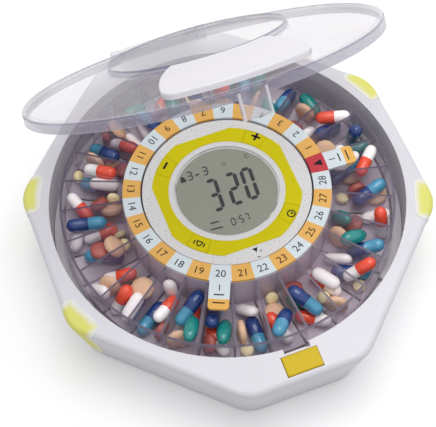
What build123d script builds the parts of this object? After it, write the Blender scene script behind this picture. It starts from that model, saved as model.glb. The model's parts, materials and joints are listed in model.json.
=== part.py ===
"""An automatic pill dispenser: an eight-sided housing with a round well, a motor-driven tray of
29 compartments that turns round a fixed dial with a display and four keys, and a clear lid.

Millimetres. The origin is on the surface the dispenser stands on, under the middle of the tray.
+Z is up and the front, where the lid's latch is, faces -Y. The lid is modelled open.
"""

from build123d import *
from math import acos, cos, degrees, pi, radians, sin, sqrt, tan
import os

# ---- Driving dimensions -------------------------------------------------------------------------

# Housing
WELL_RADIUS = 95.0           # of the round well that the tray turns in
SIDE_FLANGE = 8.0            # from the well to the left and right flats, at the widest height
END_FLANGE = 18.0            # from the well to the front and rear flats
SLANT_FLANGE = 8.0           # from the well to the four slanted flats
WIDEST_Z = 42.5              # height at which those three hold
DRAFT_ANGLE = 13.5           # the walls lean in by this towards the bottom
CORNER_RADIUS = 18.0
TOP_EDGE_RADIUS = 3.0
TOP_SLOPE_ANGLE = 10.0       # the top face falls by this away from the well
RIM_Z = 45.0                 # top of the well
WALL = 2.2
FOOT_HEIGHT = 1.5            # clear height under the bottom cover
COVER_THICKNESS = 2.0
COVER_LIP_HEIGHT = 2.0
COVER_LIP_WALL = 1.5
CASE_GAP = 0.2               # between a cover's lip or door and the wall it enters

# Corner grips: soft pads on the side corners
GRIP_HALF_WIDTH = 12.0
GRIP_REACH = 12.0            # from the sharp corner in towards the middle
GRIP_DEPTH = 1.3
GRIP_PROUD = 0.4
GRIP_ROUNDING = 4.0

# Deck under the tray, and the fixed column that carries the dial
DECK_TOP_Z = 20.0
DECK_THICKNESS = 2.2
DECK_GAP = 0.3
LEDGE_WIDTH = 9.0
LEDGE_THICKNESS = 1.8
COLUMN_RADIUS = 45.0
COLUMN_WALL = 2.2
DIAL_UNDER_Z = 47.6          # top of the column, where the dial cover sits
BOARD_LEDGE_WIDTH = 3.8
BOARD_LEDGE_HEIGHT = 4.0

# Tray
COMPARTMENTS = 29
TRAY_GAP = 5.6               # from the tray to the well's wall
TRAY_WALL = 1.4
TRAY_RIM_Z = 44.6
TRAY_FLOOR_Z = 24.4          # underside of the floor, on top of the gear
TRAY_FLOOR_THICKNESS = 1.5
TRAY_BORE_GAP = 0.9          # round the column
TRAY_HUB_RADIUS = 55.5
TRAY_HUB_TOP_Z = 49.4
DIVIDER_THICKNESS = 1.2
DIVIDER_INNER_Z = 48.6
DIVIDER_OUTER_Z = 44.0

# Number ring on the tray's hub
RING_THICKNESS = 1.6
RING_RADIUS = 55.3
TAB_WIDTH = 10.8
TAB_LENGTH = 16.0
TAB_CORNER_RADIUS = 2.0
FRONT_NUMBER = 22            # the number at the front
TAB_NUMBERS = (20, 29)

# Drive
GEAR_MODULE = 1.2
PRESSURE_ANGLE = 20.0
GEAR_DEDENDUM = 1.15         # in modules, as are the two below
WHEEL_ADDENDUM = 0.75
PINION_ADDENDUM = 0.9
GEAR_TEETH = 84
PINION_TEETH = 14
GEAR_RUNNING_GAP = 0.3       # above the deck
GEAR_BORE_GAP = 0.06
PINION_THICKNESS = 3.6
TOOTH_BACKLASH = 0.25
SHAFT_RADIUS = 1.5
SHAFT_GAP = 0.8              # round the shaft where it passes through the deck
RUNNING_GAP = 0.05           # round a shaft or pin that turns
MOTOR_RADIUS = 12.0
MOTOR_HEIGHT = 11.3
MOTOR_EAR_SPAN = 34.0
MOTOR_EAR_WIDTH = 8.0
MOTOR_EAR_THICKNESS = 1.5
MOTOR_SCREW_OFFSET = 14.5
SWITCH_SIZE = (12.0, 6.0, 5.0)

# Dial
DIAL_THICKNESS = 2.2
DIAL_SPIGOT_DEPTH = 2.8
DIAL_SPIGOT_WALL = 1.4
BAND_RADIUS = 39.8           # the yellow band: a disc with four flats
BAND_FLAT = 36.6
BAND_INNER_RADIUS = 31.0
BAND_THICKNESS = 0.6
BAND_PROUD = 0.3
KEY_MARGIN = 0.4             # of the band left on each side of a key
KEY_HALF_ANGLE = 9.0
KEY_GAP = 0.15
KEY_TRAVEL = 0.5
KEY_STEM_RADIUS = 1.5
KEY_STEM_GAP = 0.3
KEY_REST_GAP = 0.05          # from a key's stem to its switch, once the key has travelled
KEY_FLOOR_GAP = 0.1          # left under a pressed key
WINDOW_RADIUS = 28.0
WINDOW_THICKNESS = 1.0
DISPLAY_RADIUS = 26.9
DISPLAY_THICKNESS = 2.9
DISPLAY_COLLAR_WALL = 1.5
DISPLAY_COLLAR_DEPTH = 2.0
DISPLAY_GAP = 0.1            # round the display, and half of it above
BOARD_THICKNESS = 1.6
BOARD_GAP = 0.3
TACT_SWITCH_SIZE = 6.0
TACT_SWITCH_DROP = 1.6       # from the dial's underside to the switches
BOARD_LOW_Z = 40.0
STRIP_SIZE = (30.0, 2.4)     # contact strips between board and display
STRIP_OFFSET = 19.0

# Batteries
BATTERY_RADIUS = 7.25        # AA
BATTERY_LENGTH = 50.5
BATTERY_PITCH = 15.0
BATTERY_COUNT = 4
BATTERY_NUB_RADIUS = 2.75
BATTERY_NUB_LENGTH = 1.3
CONTACT_PLATE = (11.0, 0.5, 9.0)
CONTACT_DEPTH = 3.0          # from the battery's end to the bay wall
CONTACT_BUMP_RADIUS = 3.0
BAY_WALL = 1.5
BAY_HEIGHT = 9.5
BAY_SIDE_GAP = 1.5
DOOR_RIB_HEIGHT = 0.8
DOOR_RIB_WIDTH = 2.0
DOOR_LEDGE = 2.0             # of cover left under the bay walls round the door
DOOR_TONGUE = (12.0, 1.7, 1.2)   # width, reach over the cover, height
DOOR_TONGUE_ROOT = 0.8
DOOR_CORNER_RADIUS = 2.0

# Speaker
SPEAKER_RADIUS = 14.0
SPEAKER_HEIGHT = 5.5
SPEAKER_MAGNET_RADIUS = 7.7
SPEAKER_PLACE = (-58.0, -30.0)
SPEAKER_HOLE_RADIUS = 1.2
SPEAKER_HOLE_RING = 6.0
SPEAKER_HOLES = 8

# Lid
LID_INSET = 2.5              # of the lid's rim inside the well's
LID_THICKNESS = 2.0
LID_RIM_Z = 50.8             # top of the lid at its rim
LID_RIM_WIDTH = 2.5          # flat rim outside the dome
LID_SKIRT_LOW_Z = 45.4
LID_EDGE_RADIUS = 1.4
DOME_RISE = 6.4              # from the rim to the foot of the raised disc
DOME_BULGE = 0.9             # of the dome's arc above a straight cone
LID_DISC_RADIUS = 45.5
LID_DISC_RISE = 2.6
LID_DISC_SLANT = 1.8         # width of the slope round the raised disc
LID_OPEN_ANGLE = 43.5
PLATE_HALF_WIDTH = 36.0
PLATE_SIDE_RADIUS = 51.0     # of the plate's two curved sides
PLATE_WIDEST_Y = -76.0
PLATE_FRONT_MARGIN = 5.0     # from the dome's foot to the plate
PLATE_THICKNESS = 3.0
PLATE_CORNER_RADIUS = 8.0
PLATE_DISC_GAP = 0.4
PLATE_EDGE_RADIUS = 1.0
GLUE_GAP = 0.02
TONGUE_WIDTH = 14.0
TONGUE_THICKNESS = 2.0
TONGUE_LOW_Z = 36.0
TONGUE_PROUD = 0.7           # of the lid's rim
TONGUE_RIB = (1.2, 1.2)      # width and depth of the rib at each side
BARB_WIDTH = 11.0
BARB_DEPTH = 1.3
BARB_HEIGHT = 1.6
BARB_RISE = 0.2              # above the tongue's end

# Hinge
HINGE_REACH = 13.0           # from the well to the hinge's axis
HINGE_Z = 46.0
HINGE_PIN_RADIUS = 1.5
PIN_SEAT_GAP = 0.02          # round a pin that is fixed
KNUCKLE_RADIUS = 2.9
KNUCKLE_HALF_WIDTH = 22.8
KNUCKLE_SIDE_GAP = 0.4
HINGE_ARM_HALF_WIDTH = 20.0
HINGE_ARM_THICKNESS = 3.0
EAR_RADIUS = 3.4
EAR_THICKNESS = 4.5

# Latch
BUTTON_HALF_WIDTH = 9.6
BUTTON_MARGIN = 3.5          # from the well to the button
BUTTON_LENGTH = 10.3
BUTTON_PROUD = 0.9
BUTTON_WALL = 1.8
BUTTON_GAP = 0.25
BUTTON_SKIRT_Z = 40.0        # top of the skirt that keeps the button in
BUTTON_SKIRT_THICKNESS = 1.1
BUTTON_SKIRT_REACH = 0.6
BUTTON_NOTCH_Z = 42.4        # top of the notch that the lever's tooth passes through
BUTTON_EDGE_RADIUS = 0.8
LEVER_PIVOT_REACH = 4.6      # from the well to the lever's axis
LEVER_PIVOT_Z = 25.5
LEVER_PIN_RADIUS = 1.0
LEVER_BOSS_RADIUS = 1.9
LEVER_HALF_WIDTH = 5.8
LEVER_ARM_THICKNESS = 2.5
LEVER_ARM_RISE = 0.5         # underside of the arm above the pivot
LEVER_ARM_REACH = 6.5
LEVER_POST_THICKNESS = 2.0
TOOTH_TOP_Z = 39.7
TOOTH_HEIGHT = 1.6
STEM_OFFSET = 5.9            # stem to pivot
STEM_HALF_THICKNESS = 0.75
STEM_HALF_WIDTH = 3.0
STEM_GAP = 0.35
SLOT_HALF_WIDTH = 7.0
SLOT_LOW_Z = 34.0
LATCH_EAR_GAP = 0.6
LATCH_EAR_THICKNESS = 2.2
LATCH_EAR_RADIUS = 3.4
SHELF_Z = 20.0               # the latch spring stands on it
SHELF_HALF_WIDTH = 4.0
SPRING_OFFSET = 4.2          # spring to pivot
SPRING_RADIUS = 1.0
SPRING_WIRE_RADIUS = 0.2
SPRING_TURNS = 6

# Screws and feet
CASE_SCREW_RADIUS = 1.5
CASE_BOSS_RADIUS = 3.5
CASE_HEAD_RADIUS = 2.8
CASE_HEAD_HEIGHT = 1.2
CASE_SCREW_LENGTH = 10.0
END_BOSS_REACH = 4.0         # from the well to a front or rear screw
END_BOSS_ANGLE = 74.0
SIDE_BOSS_INSET = 8.0        # from the well in to a side screw
DECK_SCREWS = 6
DECK_SCREW_RADIUS = 1.25
DECK_BOSS_RADIUS = 2.8
DECK_BOSS_HEIGHT = 3.0
DECK_SCREW_FIRST_ANGLE = 15.0
HEAD_RATIO = 1.9             # screw head radius over shank radius
SMALL_HEAD_HEIGHT = 1.5      # of the deck and motor screws
SCREW_END_GAP = 0.5          # from a screw's tip to the end of its hole
BOARD_SCREWS = 3
BOARD_SCREW_RADIUS = 0.9
BOARD_SCREW_LENGTH = 4.0
BOARD_HEAD_HEIGHT = 1.2
SCREW_GAP = 0.03
FOOT_RADIUS = 6.0
FOOT_RECESS = 1.0
FOOT_INSET = 22.0            # from a slanted flat in to its foot

# ---- Worked-out dimensions ----------------------------------------------------------------------

COVER_TOP_Z = FOOT_HEIGHT + COVER_THICKNESS
SIDE_HALF = WELL_RADIUS + SIDE_FLANGE
END_HALF = WELL_RADIUS + END_FLANGE
SLANT_HALF = WELL_RADIUS + SLANT_FLANGE
TRAY_RADIUS = WELL_RADIUS - TRAY_GAP
LID_RADIUS = WELL_RADIUS - LID_INSET
HINGE_Y = WELL_RADIUS + HINGE_REACH
BUTTON_INNER_Y = -WELL_RADIUS - BUTTON_MARGIN
BUTTON_OUTER_Y = BUTTON_INNER_Y - BUTTON_LENGTH
LEVER_PIVOT_Y = -WELL_RADIUS - LEVER_PIVOT_REACH
TOOTH_TIP_Y = -WELL_RADIUS
TONGUE_FACE_Y = -LID_RADIUS - TONGUE_PROUD
FOOT_PLACE = (SLANT_HALF - FOOT_INSET) / sqrt(2)
DECK_LOW_Z = DECK_TOP_Z - DECK_THICKNESS
LEDGE_LOW_Z = DECK_LOW_Z - LEDGE_THICKNESS
COLUMN_BORE = COLUMN_RADIUS - COLUMN_WALL
COLUMN_SPIGOT_RADIUS = COLUMN_RADIUS - COLUMN_WALL / 2
TRAY_BORE = COLUMN_RADIUS + TRAY_BORE_GAP
TRAY_FLOOR_TOP_Z = TRAY_FLOOR_Z + TRAY_FLOOR_THICKNESS
TRAY_INSIDE = TRAY_RADIUS - TRAY_WALL
RING_TOP_Z = TRAY_HUB_TOP_Z + RING_THICKNESS
PITCH_ANGLE = 360.0 / COMPARTMENTS
GEAR_LOW_Z = DECK_TOP_Z + GEAR_RUNNING_GAP
PINION_CENTRE = (0.0, GEAR_MODULE * (GEAR_TEETH + PINION_TEETH) / 2)
DIAL_TOP_Z = DIAL_UNDER_Z + DIAL_THICKNESS
BAND_TOP_Z = DIAL_TOP_Z + BAND_PROUD
BAND_LOW_Z = BAND_TOP_Z - BAND_THICKNESS
KEY_RADIUS = (BAND_INNER_RADIUS + BAND_RADIUS) / 2
WINDOW_LOW_Z = DIAL_TOP_Z - WINDOW_THICKNESS
DISPLAY_TOP_Z = WINDOW_LOW_Z - DISPLAY_GAP / 2
DISPLAY_LOW_Z = DISPLAY_TOP_Z - DISPLAY_THICKNESS
DISPLAY_BORE = DISPLAY_RADIUS + DISPLAY_GAP
BOARD_TOP_Z = BOARD_LOW_Z + BOARD_THICKNESS
BOARD_RADIUS = COLUMN_BORE - BOARD_GAP
BOARD_SCREW_RING = COLUMN_BORE - BOARD_LEDGE_WIDTH / 2
SWITCH_TOP_Z = DIAL_UNDER_Z - TACT_SWITCH_DROP
STEM_END_Z = SWITCH_TOP_Z + KEY_TRAVEL + KEY_REST_GAP
BATTERY_Z = COVER_TOP_Z + DOOR_RIB_HEIGHT + BATTERY_RADIUS
BAY_HALF_X = BATTERY_PITCH * BATTERY_COUNT / 2 + BAY_SIDE_GAP
BAY_HALF_Y = BATTERY_LENGTH / 2 + CONTACT_DEPTH
DOOR_HALF_X = BAY_HALF_X - DOOR_LEDGE
DOOR_HALF_Y = BAY_HALF_Y - DOOR_LEDGE
DOME_FOOT_RADIUS = LID_RADIUS - LID_RIM_WIDTH
DOME_TOP_RADIUS = LID_DISC_RADIUS + LID_DISC_SLANT
PLATE_FRONT_RADIUS = DOME_FOOT_RADIUS - PLATE_FRONT_MARGIN
DOME_TOP_Z = LID_RIM_Z + DOME_RISE
LEDGE_INNER = WELL_RADIUS - LEDGE_WIDTH
DECK_SCREW_RING = WELL_RADIUS - LEDGE_WIDTH / 2
CASE_SCREW_TOP_Z = FOOT_HEIGHT + CASE_SCREW_LENGTH
KEY_ANGLES = {"key_plus": 45.0, "key_minus": 135.0, "key_clock": -45.0, "key_alarm": -135.0}


# ---- Helpers ------------------------------------------------------------------------------------

def polar(radius, angle):
    """The point at this radius and angle in degrees."""
    return (radius * cos(radians(angle)), radius * sin(radians(angle)))


def box(x, y, z):
    """A box from its low and high coordinates on each axis."""
    size = (x[1] - x[0], y[1] - y[0], z[1] - z[0])
    return Pos(x[0], y[0], z[0]) * Box(*size, align=(Align.MIN, Align.MIN, Align.MIN))


def rod(radius, low_z, high_z, place=(0.0, 0.0)):
    """An upright cylinder."""
    align = (Align.CENTER, Align.CENTER, Align.MIN)
    return Pos(place[0], place[1], low_z) * Cylinder(radius, high_z - low_z, align=align)


def ring(inner, outer, low_z, high_z, place=(0.0, 0.0)):
    """An upright tube."""
    return rod(outer, low_z, high_z, place) - rod(inner, low_z - 1, high_z + 1, place)


def cross_rod(radius, half_length, y, z):
    """A cylinder along X."""
    return Pos(0, y, z) * Rot(0, 90, 0) * Cylinder(radius, 2 * half_length)


def upright(face, low_z, high_z):
    """A flat outline drawn at the origin, raised between two heights."""
    return Pos(0, 0, low_z) * extrude(face, amount=high_z - low_z)


def side_profile(points, low_x, high_x):
    """An outline of (y, z) points, stretched along X."""
    face = Plane.YZ * Polygon(*points, align=None)
    return Pos(low_x, 0, 0) * extrude(face, amount=high_x - low_x, dir=(1, 0, 0))


def all_of(pieces):
    """One shape holding several."""
    return Compound(children=[solid for piece in pieces for solid in piece.solids()])


# ---- Housing ------------------------------------------------------------------------------------

def top_z(radius, inset=0.0):
    """Height of the sloping top face at this distance from the middle."""
    return RIM_Z - inset - max(0.0, radius - WELL_RADIUS) * tan(radians(TOP_SLOPE_ANGLE))


def wall_inset(z):
    """How far the wall has leaned in at this height."""
    return (WIDEST_Z - z) * tan(radians(DRAFT_ANGLE))


def octagon(z, inset):
    """The housing's outline at height z, drawn in by inset, with sharp corners."""
    shrink = inset + wall_inset(z)
    side = SIDE_HALF - shrink
    end = END_HALF - shrink
    slant = (SLANT_HALF - shrink) * sqrt(2)
    quarter = [(side, slant - side), (slant - end, end)]
    upper = quarter + [(-x, y) for x, y in reversed(quarter)]
    return Pos(0, 0, z) * Polygon(*upper, *[(-x, -y) for x, y in upper], align=None)


def tapered_block(low_z, high_z, inset):
    """The housing's leaning walls as a block with rounded corners."""
    block = loft([octagon(low_z, inset).face(), octagon(high_z, inset).face()], ruled=True)
    corners = [edge for edge in block.edges() if abs(edge.center().Z - (low_z + high_z) / 2) < 0.01]
    return fillet(corners, CORNER_RADIUS - inset)


def under_top(inset):
    """Everything below the sloping top face, which is lowered by inset."""
    reach = END_HALF + SIDE_HALF
    points = [(0, -1), (reach, -1), (reach, top_z(reach, inset)), (WELL_RADIUS, top_z(0, inset))]
    return revolve(Plane.XZ * Polygon(*points, (0, top_z(0, inset)), align=None), Axis.Z)


def housing_block(low_z, inset):
    """The housing's outer shape as a solid block, drawn in on every side by inset."""
    block = tapered_block(low_z, RIM_Z + 1, inset) & under_top(inset)
    block = block.solids()[0]
    outer = [
        edge for edge in block.edges()
        if edge.center().Z > WIDEST_Z - 6 and edge.bounding_box().size.Z < 3
        and Vector(edge.center().X, edge.center().Y, 0).length > WELL_RADIUS + 1
    ]
    return fillet(outer, max(0.4, TOP_EDGE_RADIUS - inset))


def grip_region(x_sign, y_sign):
    """An upright prism round one side corner, as wide and deep as its grip."""
    corner = (SIDE_HALF, SLANT_HALF * sqrt(2) - SIDE_HALF)
    outline = RectangleRounded(2 * GRIP_REACH, 2 * GRIP_HALF_WIDTH, GRIP_ROUNDING)
    prism = upright(outline, COVER_TOP_Z, RIM_Z + 5)
    prism = Pos(corner[0], corner[1], 0) * Rot(0, 0, 22.5) * prism
    if x_sign < 0:
        prism = mirror(prism, Plane.YZ)
    if y_sign < 0:
        prism = mirror(prism, Plane.XZ)
    return prism


def corner_grip(x_sign, y_sign, blocks):
    """A soft pad that wraps the top and the wall of one side corner."""
    proud_block, core_block = blocks
    return (proud_block & grip_region(x_sign, y_sign)) - core_block


def case_screw_places():
    """Four screws near the front and rear corners, and one at each side."""
    x, y = polar(WELL_RADIUS + END_BOSS_REACH, END_BOSS_ANGLE)
    ends = [(sx * x, sy * y) for sx in (-1, 1) for sy in (-1, 1)]
    side_x = WELL_RADIUS - SIDE_BOSS_INSET
    return ends + [(-side_x, 0.0), (side_x, 0.0)]


def deck_screw_places():
    """Screws that hold the deck to the ledge, evenly spaced."""
    step = 360.0 / DECK_SCREWS
    return [polar(DECK_SCREW_RING, DECK_SCREW_FIRST_ANGLE + i * step) for i in range(DECK_SCREWS)]


def hinge_ear(x_sign):
    """One upright ear behind the well, with a seat for the hinge pin."""
    inner_x = KNUCKLE_HALF_WIDTH + KNUCKLE_SIDE_GAP
    foot = side_profile(
        [
            (HINGE_Y - EAR_RADIUS, top_z(END_HALF) - WALL),
            (HINGE_Y + EAR_RADIUS, top_z(END_HALF) - WALL),
            (HINGE_Y + EAR_RADIUS, HINGE_Z),
            (HINGE_Y - EAR_RADIUS, HINGE_Z),
        ],
        inner_x,
        inner_x + EAR_THICKNESS,
    )
    head = cross_rod(EAR_RADIUS, EAR_THICKNESS / 2, HINGE_Y, HINGE_Z)
    ear = foot + Pos(inner_x + EAR_THICKNESS / 2, 0, 0) * head
    return ear if x_sign > 0 else mirror(ear, Plane.YZ)


def latch_ear(x_sign):
    """One ear behind the well wall that carries an end of the lever's pin."""
    inner_x = LEVER_HALF_WIDTH + LATCH_EAR_GAP
    low = LEVER_PIVOT_Z - LATCH_EAR_RADIUS
    high = LEVER_PIVOT_Z + LATCH_EAR_RADIUS
    along = (LEVER_PIVOT_Y - LATCH_EAR_RADIUS, -WELL_RADIUS - WALL / 2)
    ear = box((inner_x, inner_x + LATCH_EAR_THICKNESS), along, (low, high))
    return ear if x_sign > 0 else mirror(ear, Plane.YZ)


def upper_housing(outer, grips):
    """The eight-sided shell with its round well, ledge, bosses, hinge ears and latch seats."""
    cavity = tapered_block(COVER_TOP_Z - 1, RIM_Z + 1, WALL) & under_top(WALL)
    well_wall = ring(WELL_RADIUS, WELL_RADIUS + WALL, LEDGE_LOW_Z, RIM_Z + 1)
    ledge = ring(LEDGE_INNER, WELL_RADIUS + WALL, LEDGE_LOW_Z, DECK_LOW_Z)
    shelf_y = (-END_HALF, -WELL_RADIUS - WALL / 2)
    shelf = box((-SHELF_HALF_WIDTH, SHELF_HALF_WIDTH), shelf_y, (SHELF_Z - WALL, SHELF_Z))
    inside = [well_wall, ledge, shelf]
    for place in case_screw_places():
        inside.append(rod(CASE_BOSS_RADIUS, COVER_TOP_Z, LEDGE_LOW_Z + LEDGE_THICKNESS, place))
    shell = outer - cavity
    for piece in inside:
        shell += piece & outer
    for x_sign in (-1, 1):
        shell += hinge_ear(x_sign)
        shell += latch_ear(x_sign)
    shell -= rod(WELL_RADIUS, DECK_LOW_Z, RIM_Z + 5)
    slot = (-SLOT_HALF_WIDTH, SLOT_HALF_WIDTH)
    shell -= box(slot, (-WELL_RADIUS - WALL - 0.3, -WELL_RADIUS + 3), (SLOT_LOW_Z, RIM_Z + 1))
    window_x = BUTTON_HALF_WIDTH + BUTTON_GAP
    window_y = (BUTTON_OUTER_Y - BUTTON_GAP, BUTTON_INNER_Y + BUTTON_GAP)
    shell -= box((-window_x, window_x), window_y, (BUTTON_SKIRT_Z - 3, RIM_Z + 1))
    shell -= cross_rod(HINGE_PIN_RADIUS + PIN_SEAT_GAP, SIDE_HALF, HINGE_Y, HINGE_Z)
    lever_pin_seat = LEVER_PIN_RADIUS + PIN_SEAT_GAP
    shell -= cross_rod(lever_pin_seat, SLOT_HALF_WIDTH * 2, LEVER_PIVOT_Y, LEVER_PIVOT_Z)
    for place in case_screw_places():
        shell -= rod(CASE_SCREW_RADIUS + SCREW_GAP, COVER_TOP_Z - 1, CASE_SCREW_TOP_Z + SCREW_END_GAP, place)
    for place in deck_screw_places():
        shell -= rod(DECK_SCREW_RADIUS + SCREW_GAP, LEDGE_LOW_Z - 1, DECK_LOW_Z + 1, place)
    for grip in grips:
        shell -= grip
    return shell


def door_outline(gap):
    """The battery door's outline, drawn in by gap."""
    return RectangleRounded(2 * (DOOR_HALF_X - gap), 2 * (DOOR_HALF_Y - gap), DOOR_CORNER_RADIUS)


def speaker_hole_places():
    """A hole in the middle of the speaker and a ring of holes round it."""
    places = [SPEAKER_PLACE]
    for i in range(SPEAKER_HOLES):
        x, y = polar(SPEAKER_HOLE_RING, i * 360.0 / SPEAKER_HOLES)
        places.append((SPEAKER_PLACE[0] + x, SPEAKER_PLACE[1] + y))
    return places


def foot_places():
    """One foot near each slanted side."""
    return [(sx * FOOT_PLACE, sy * FOOT_PLACE) for sx in (-1, 1) for sy in (-1, 1)]


def bottom_cover():
    """The plate under the housing, with its lip, battery bay, speaker holes and foot recesses."""
    cover = tapered_block(FOOT_HEIGHT, COVER_TOP_Z, 0.0)
    lip_low = COVER_TOP_Z - COVER_THICKNESS / 2
    lip_high = COVER_TOP_Z + COVER_LIP_HEIGHT
    lip_inset = WALL + CASE_GAP
    lip = tapered_block(lip_low, lip_high, lip_inset)
    lip -= tapered_block(lip_low - 1, lip_high + 1, lip_inset + COVER_LIP_WALL)
    cover += lip
    bay_high = COVER_TOP_Z + BAY_HEIGHT
    outer_x = BAY_HALF_X + BAY_WALL
    outer_y = BAY_HALF_Y + BAY_WALL
    bay = box((-outer_x, outer_x), (-outer_y, outer_y), (lip_low, bay_high))
    bay -= box((-BAY_HALF_X, BAY_HALF_X), (-BAY_HALF_Y, BAY_HALF_Y), (lip_low - 1, bay_high + 1))
    cover += bay
    cover -= upright(door_outline(0.0), FOOT_HEIGHT - 1, COVER_TOP_Z + 1)
    for place in case_screw_places():
        cover -= rod(CASE_BOSS_RADIUS + CASE_GAP, COVER_TOP_Z, lip_high + 1, place)
        cover -= rod(CASE_SCREW_RADIUS + CASE_GAP, FOOT_HEIGHT - 1, COVER_TOP_Z + 1, place)
        cover -= rod(CASE_HEAD_RADIUS + CASE_GAP, FOOT_HEIGHT - 1, FOOT_HEIGHT + CASE_HEAD_HEIGHT, place)
    for place in speaker_hole_places():
        cover -= rod(SPEAKER_HOLE_RADIUS, FOOT_HEIGHT - 1, COVER_TOP_Z + 1, place)
    for place in foot_places():
        cover -= rod(FOOT_RADIUS + PIN_SEAT_GAP, FOOT_HEIGHT - 1, FOOT_HEIGHT + FOOT_RECESS, place)
    return cover


def battery_door():
    """The door under the batteries, with ribs that carry them and a tongue at each end."""
    door = upright(door_outline(CASE_GAP), FOOT_HEIGHT, COVER_TOP_Z)
    rib_x = BATTERY_PITCH * BATTERY_COUNT / 2 - BATTERY_RADIUS
    for y_sign in (-1, 1):
        rib_y = y_sign * BATTERY_LENGTH / 4
        rib = (rib_y - DOOR_RIB_WIDTH / 2, rib_y + DOOR_RIB_WIDTH / 2)
        door += box((-rib_x, rib_x), rib, (COVER_TOP_Z - 0.5, COVER_TOP_Z + DOOR_RIB_HEIGHT))
        width, reach, height = DOOR_TONGUE
        tongue_y = sorted((y_sign * (DOOR_HALF_Y - DOOR_TONGUE_ROOT), y_sign * (DOOR_HALF_Y + reach)))
        tongue = box((-width / 2, width / 2), tongue_y, (COVER_TOP_Z, COVER_TOP_Z + height))
        door += tongue
    return door


def rubber_feet():
    """Four round feet pressed into recesses in the bottom cover."""
    return all_of([rod(FOOT_RADIUS, 0.0, FOOT_HEIGHT + FOOT_RECESS, place) for place in foot_places()])


def screw(shank_radius, head_radius, head_low_z, head_high_z, tip_z, place):
    """A pan-head screw standing upright, its head at one end and its tip at tip_z."""
    shank_start = head_high_z if tip_z > head_high_z else head_low_z
    low, high = sorted((shank_start, tip_z))
    return rod(head_radius, head_low_z, head_high_z, place) + rod(shank_radius, low, high, place)


def case_screws():
    """Screws from below through the bottom cover into the housing's bosses."""
    head_high = FOOT_HEIGHT + CASE_HEAD_HEIGHT
    return all_of(
        screw(CASE_SCREW_RADIUS, CASE_HEAD_RADIUS, FOOT_HEIGHT, head_high, CASE_SCREW_TOP_Z, place)
        for place in case_screw_places()
    )


def deck_screws():
    """Screws from below through the housing's ledge into the deck's bosses."""
    head = DECK_SCREW_RADIUS * HEAD_RATIO
    tip = DECK_TOP_Z + DECK_BOSS_HEIGHT - 2 * SCREW_END_GAP
    return all_of(
        screw(DECK_SCREW_RADIUS, head, LEDGE_LOW_Z - SMALL_HEAD_HEIGHT, LEDGE_LOW_Z, tip, place)
        for place in deck_screw_places()
    )


# ---- Deck, column and drive ---------------------------------------------------------------------

def deck():
    """The floor of the well, with a hole that the column stands in."""
    boss_top = DECK_TOP_Z + DECK_BOSS_HEIGHT
    screw_hole = DECK_SCREW_RADIUS + SCREW_GAP
    part = ring(COLUMN_SPIGOT_RADIUS, WELL_RADIUS - DECK_GAP, DECK_LOW_Z, DECK_TOP_Z)
    for place in deck_screw_places():
        part += rod(DECK_BOSS_RADIUS, DECK_LOW_Z, boss_top, place)
    part &= rod(WELL_RADIUS - DECK_GAP, DECK_LOW_Z - 1, DIAL_UNDER_Z + 1)
    for place in deck_screw_places():
        part -= rod(screw_hole, DECK_LOW_Z - 1, boss_top - SCREW_END_GAP, place)
    part -= rod(SHAFT_RADIUS + SHAFT_GAP, DECK_LOW_Z - 1, DECK_TOP_Z + 1, PINION_CENTRE)
    for place in motor_screw_places():
        part -= rod(screw_hole, DECK_LOW_Z - 1, DECK_TOP_Z + 1, place)
    return part


def dial_column():
    """The fixed column inside the tray, with a spigot in the deck and a ledge for the board."""
    part = ring(COLUMN_BORE, COLUMN_RADIUS, DECK_TOP_Z, DIAL_UNDER_Z)
    part += ring(COLUMN_BORE, COLUMN_SPIGOT_RADIUS - RUNNING_GAP, DECK_LOW_Z, DECK_TOP_Z + 1)
    ledge_low = BOARD_LOW_Z - BOARD_LEDGE_HEIGHT
    part += ring(COLUMN_BORE - BOARD_LEDGE_WIDTH, COLUMN_BORE + 0.5, ledge_low, BOARD_LOW_Z)
    for place in board_screw_places():
        hole_low = BOARD_LOW_Z - BOARD_SCREW_LENGTH
        part -= rod(BOARD_SCREW_RADIUS + SCREW_GAP, hole_low, BOARD_LOW_Z + 1, place)
    return part


def involute(angle):
    """The involute function of a pressure angle in radians."""
    return tan(angle) - angle


def gear_outline(teeth, addendum, first_angle):
    """A spur gear's outline with involute flanks; one tooth points along first_angle."""
    pitch_radius = GEAR_MODULE * teeth / 2
    pressure = radians(PRESSURE_ANGLE)
    base = pitch_radius * cos(pressure)
    tip = pitch_radius + addendum
    root = pitch_radius - GEAR_DEDENDUM * GEAR_MODULE
    half_at_pitch = pi / (2 * teeth) - TOOTH_BACKLASH / (2 * pitch_radius)

    def half_angle(radius):
        return half_at_pitch + involute(pressure) - involute(acos(min(1.0, base / radius)))

    flank = [max(base, root), pitch_radius, tip]
    points = []
    for tooth in range(teeth):
        middle = first_angle + tooth * 360.0 / teeth
        rising = [(radius, middle - degrees(half_angle(radius))) for radius in flank]
        falling = [(radius, middle + degrees(half_angle(radius))) for radius in reversed(flank)]
        if root < base:
            rising.insert(0, (root, rising[0][1]))
            falling.append((root, falling[-1][1]))
        points += [polar(radius, angle) for radius, angle in rising + falling]
    return Polygon(*points, align=None)


def turntable_gear():
    """The driven gear under the tray, running on the column just above the deck."""
    blank = upright(gear_outline(GEAR_TEETH, WHEEL_ADDENDUM * GEAR_MODULE, 90.0), GEAR_LOW_Z, TRAY_FLOOR_Z)
    return blank - rod(COLUMN_RADIUS + GEAR_BORE_GAP, GEAR_LOW_Z - 1, TRAY_FLOOR_Z + 1)


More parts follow.
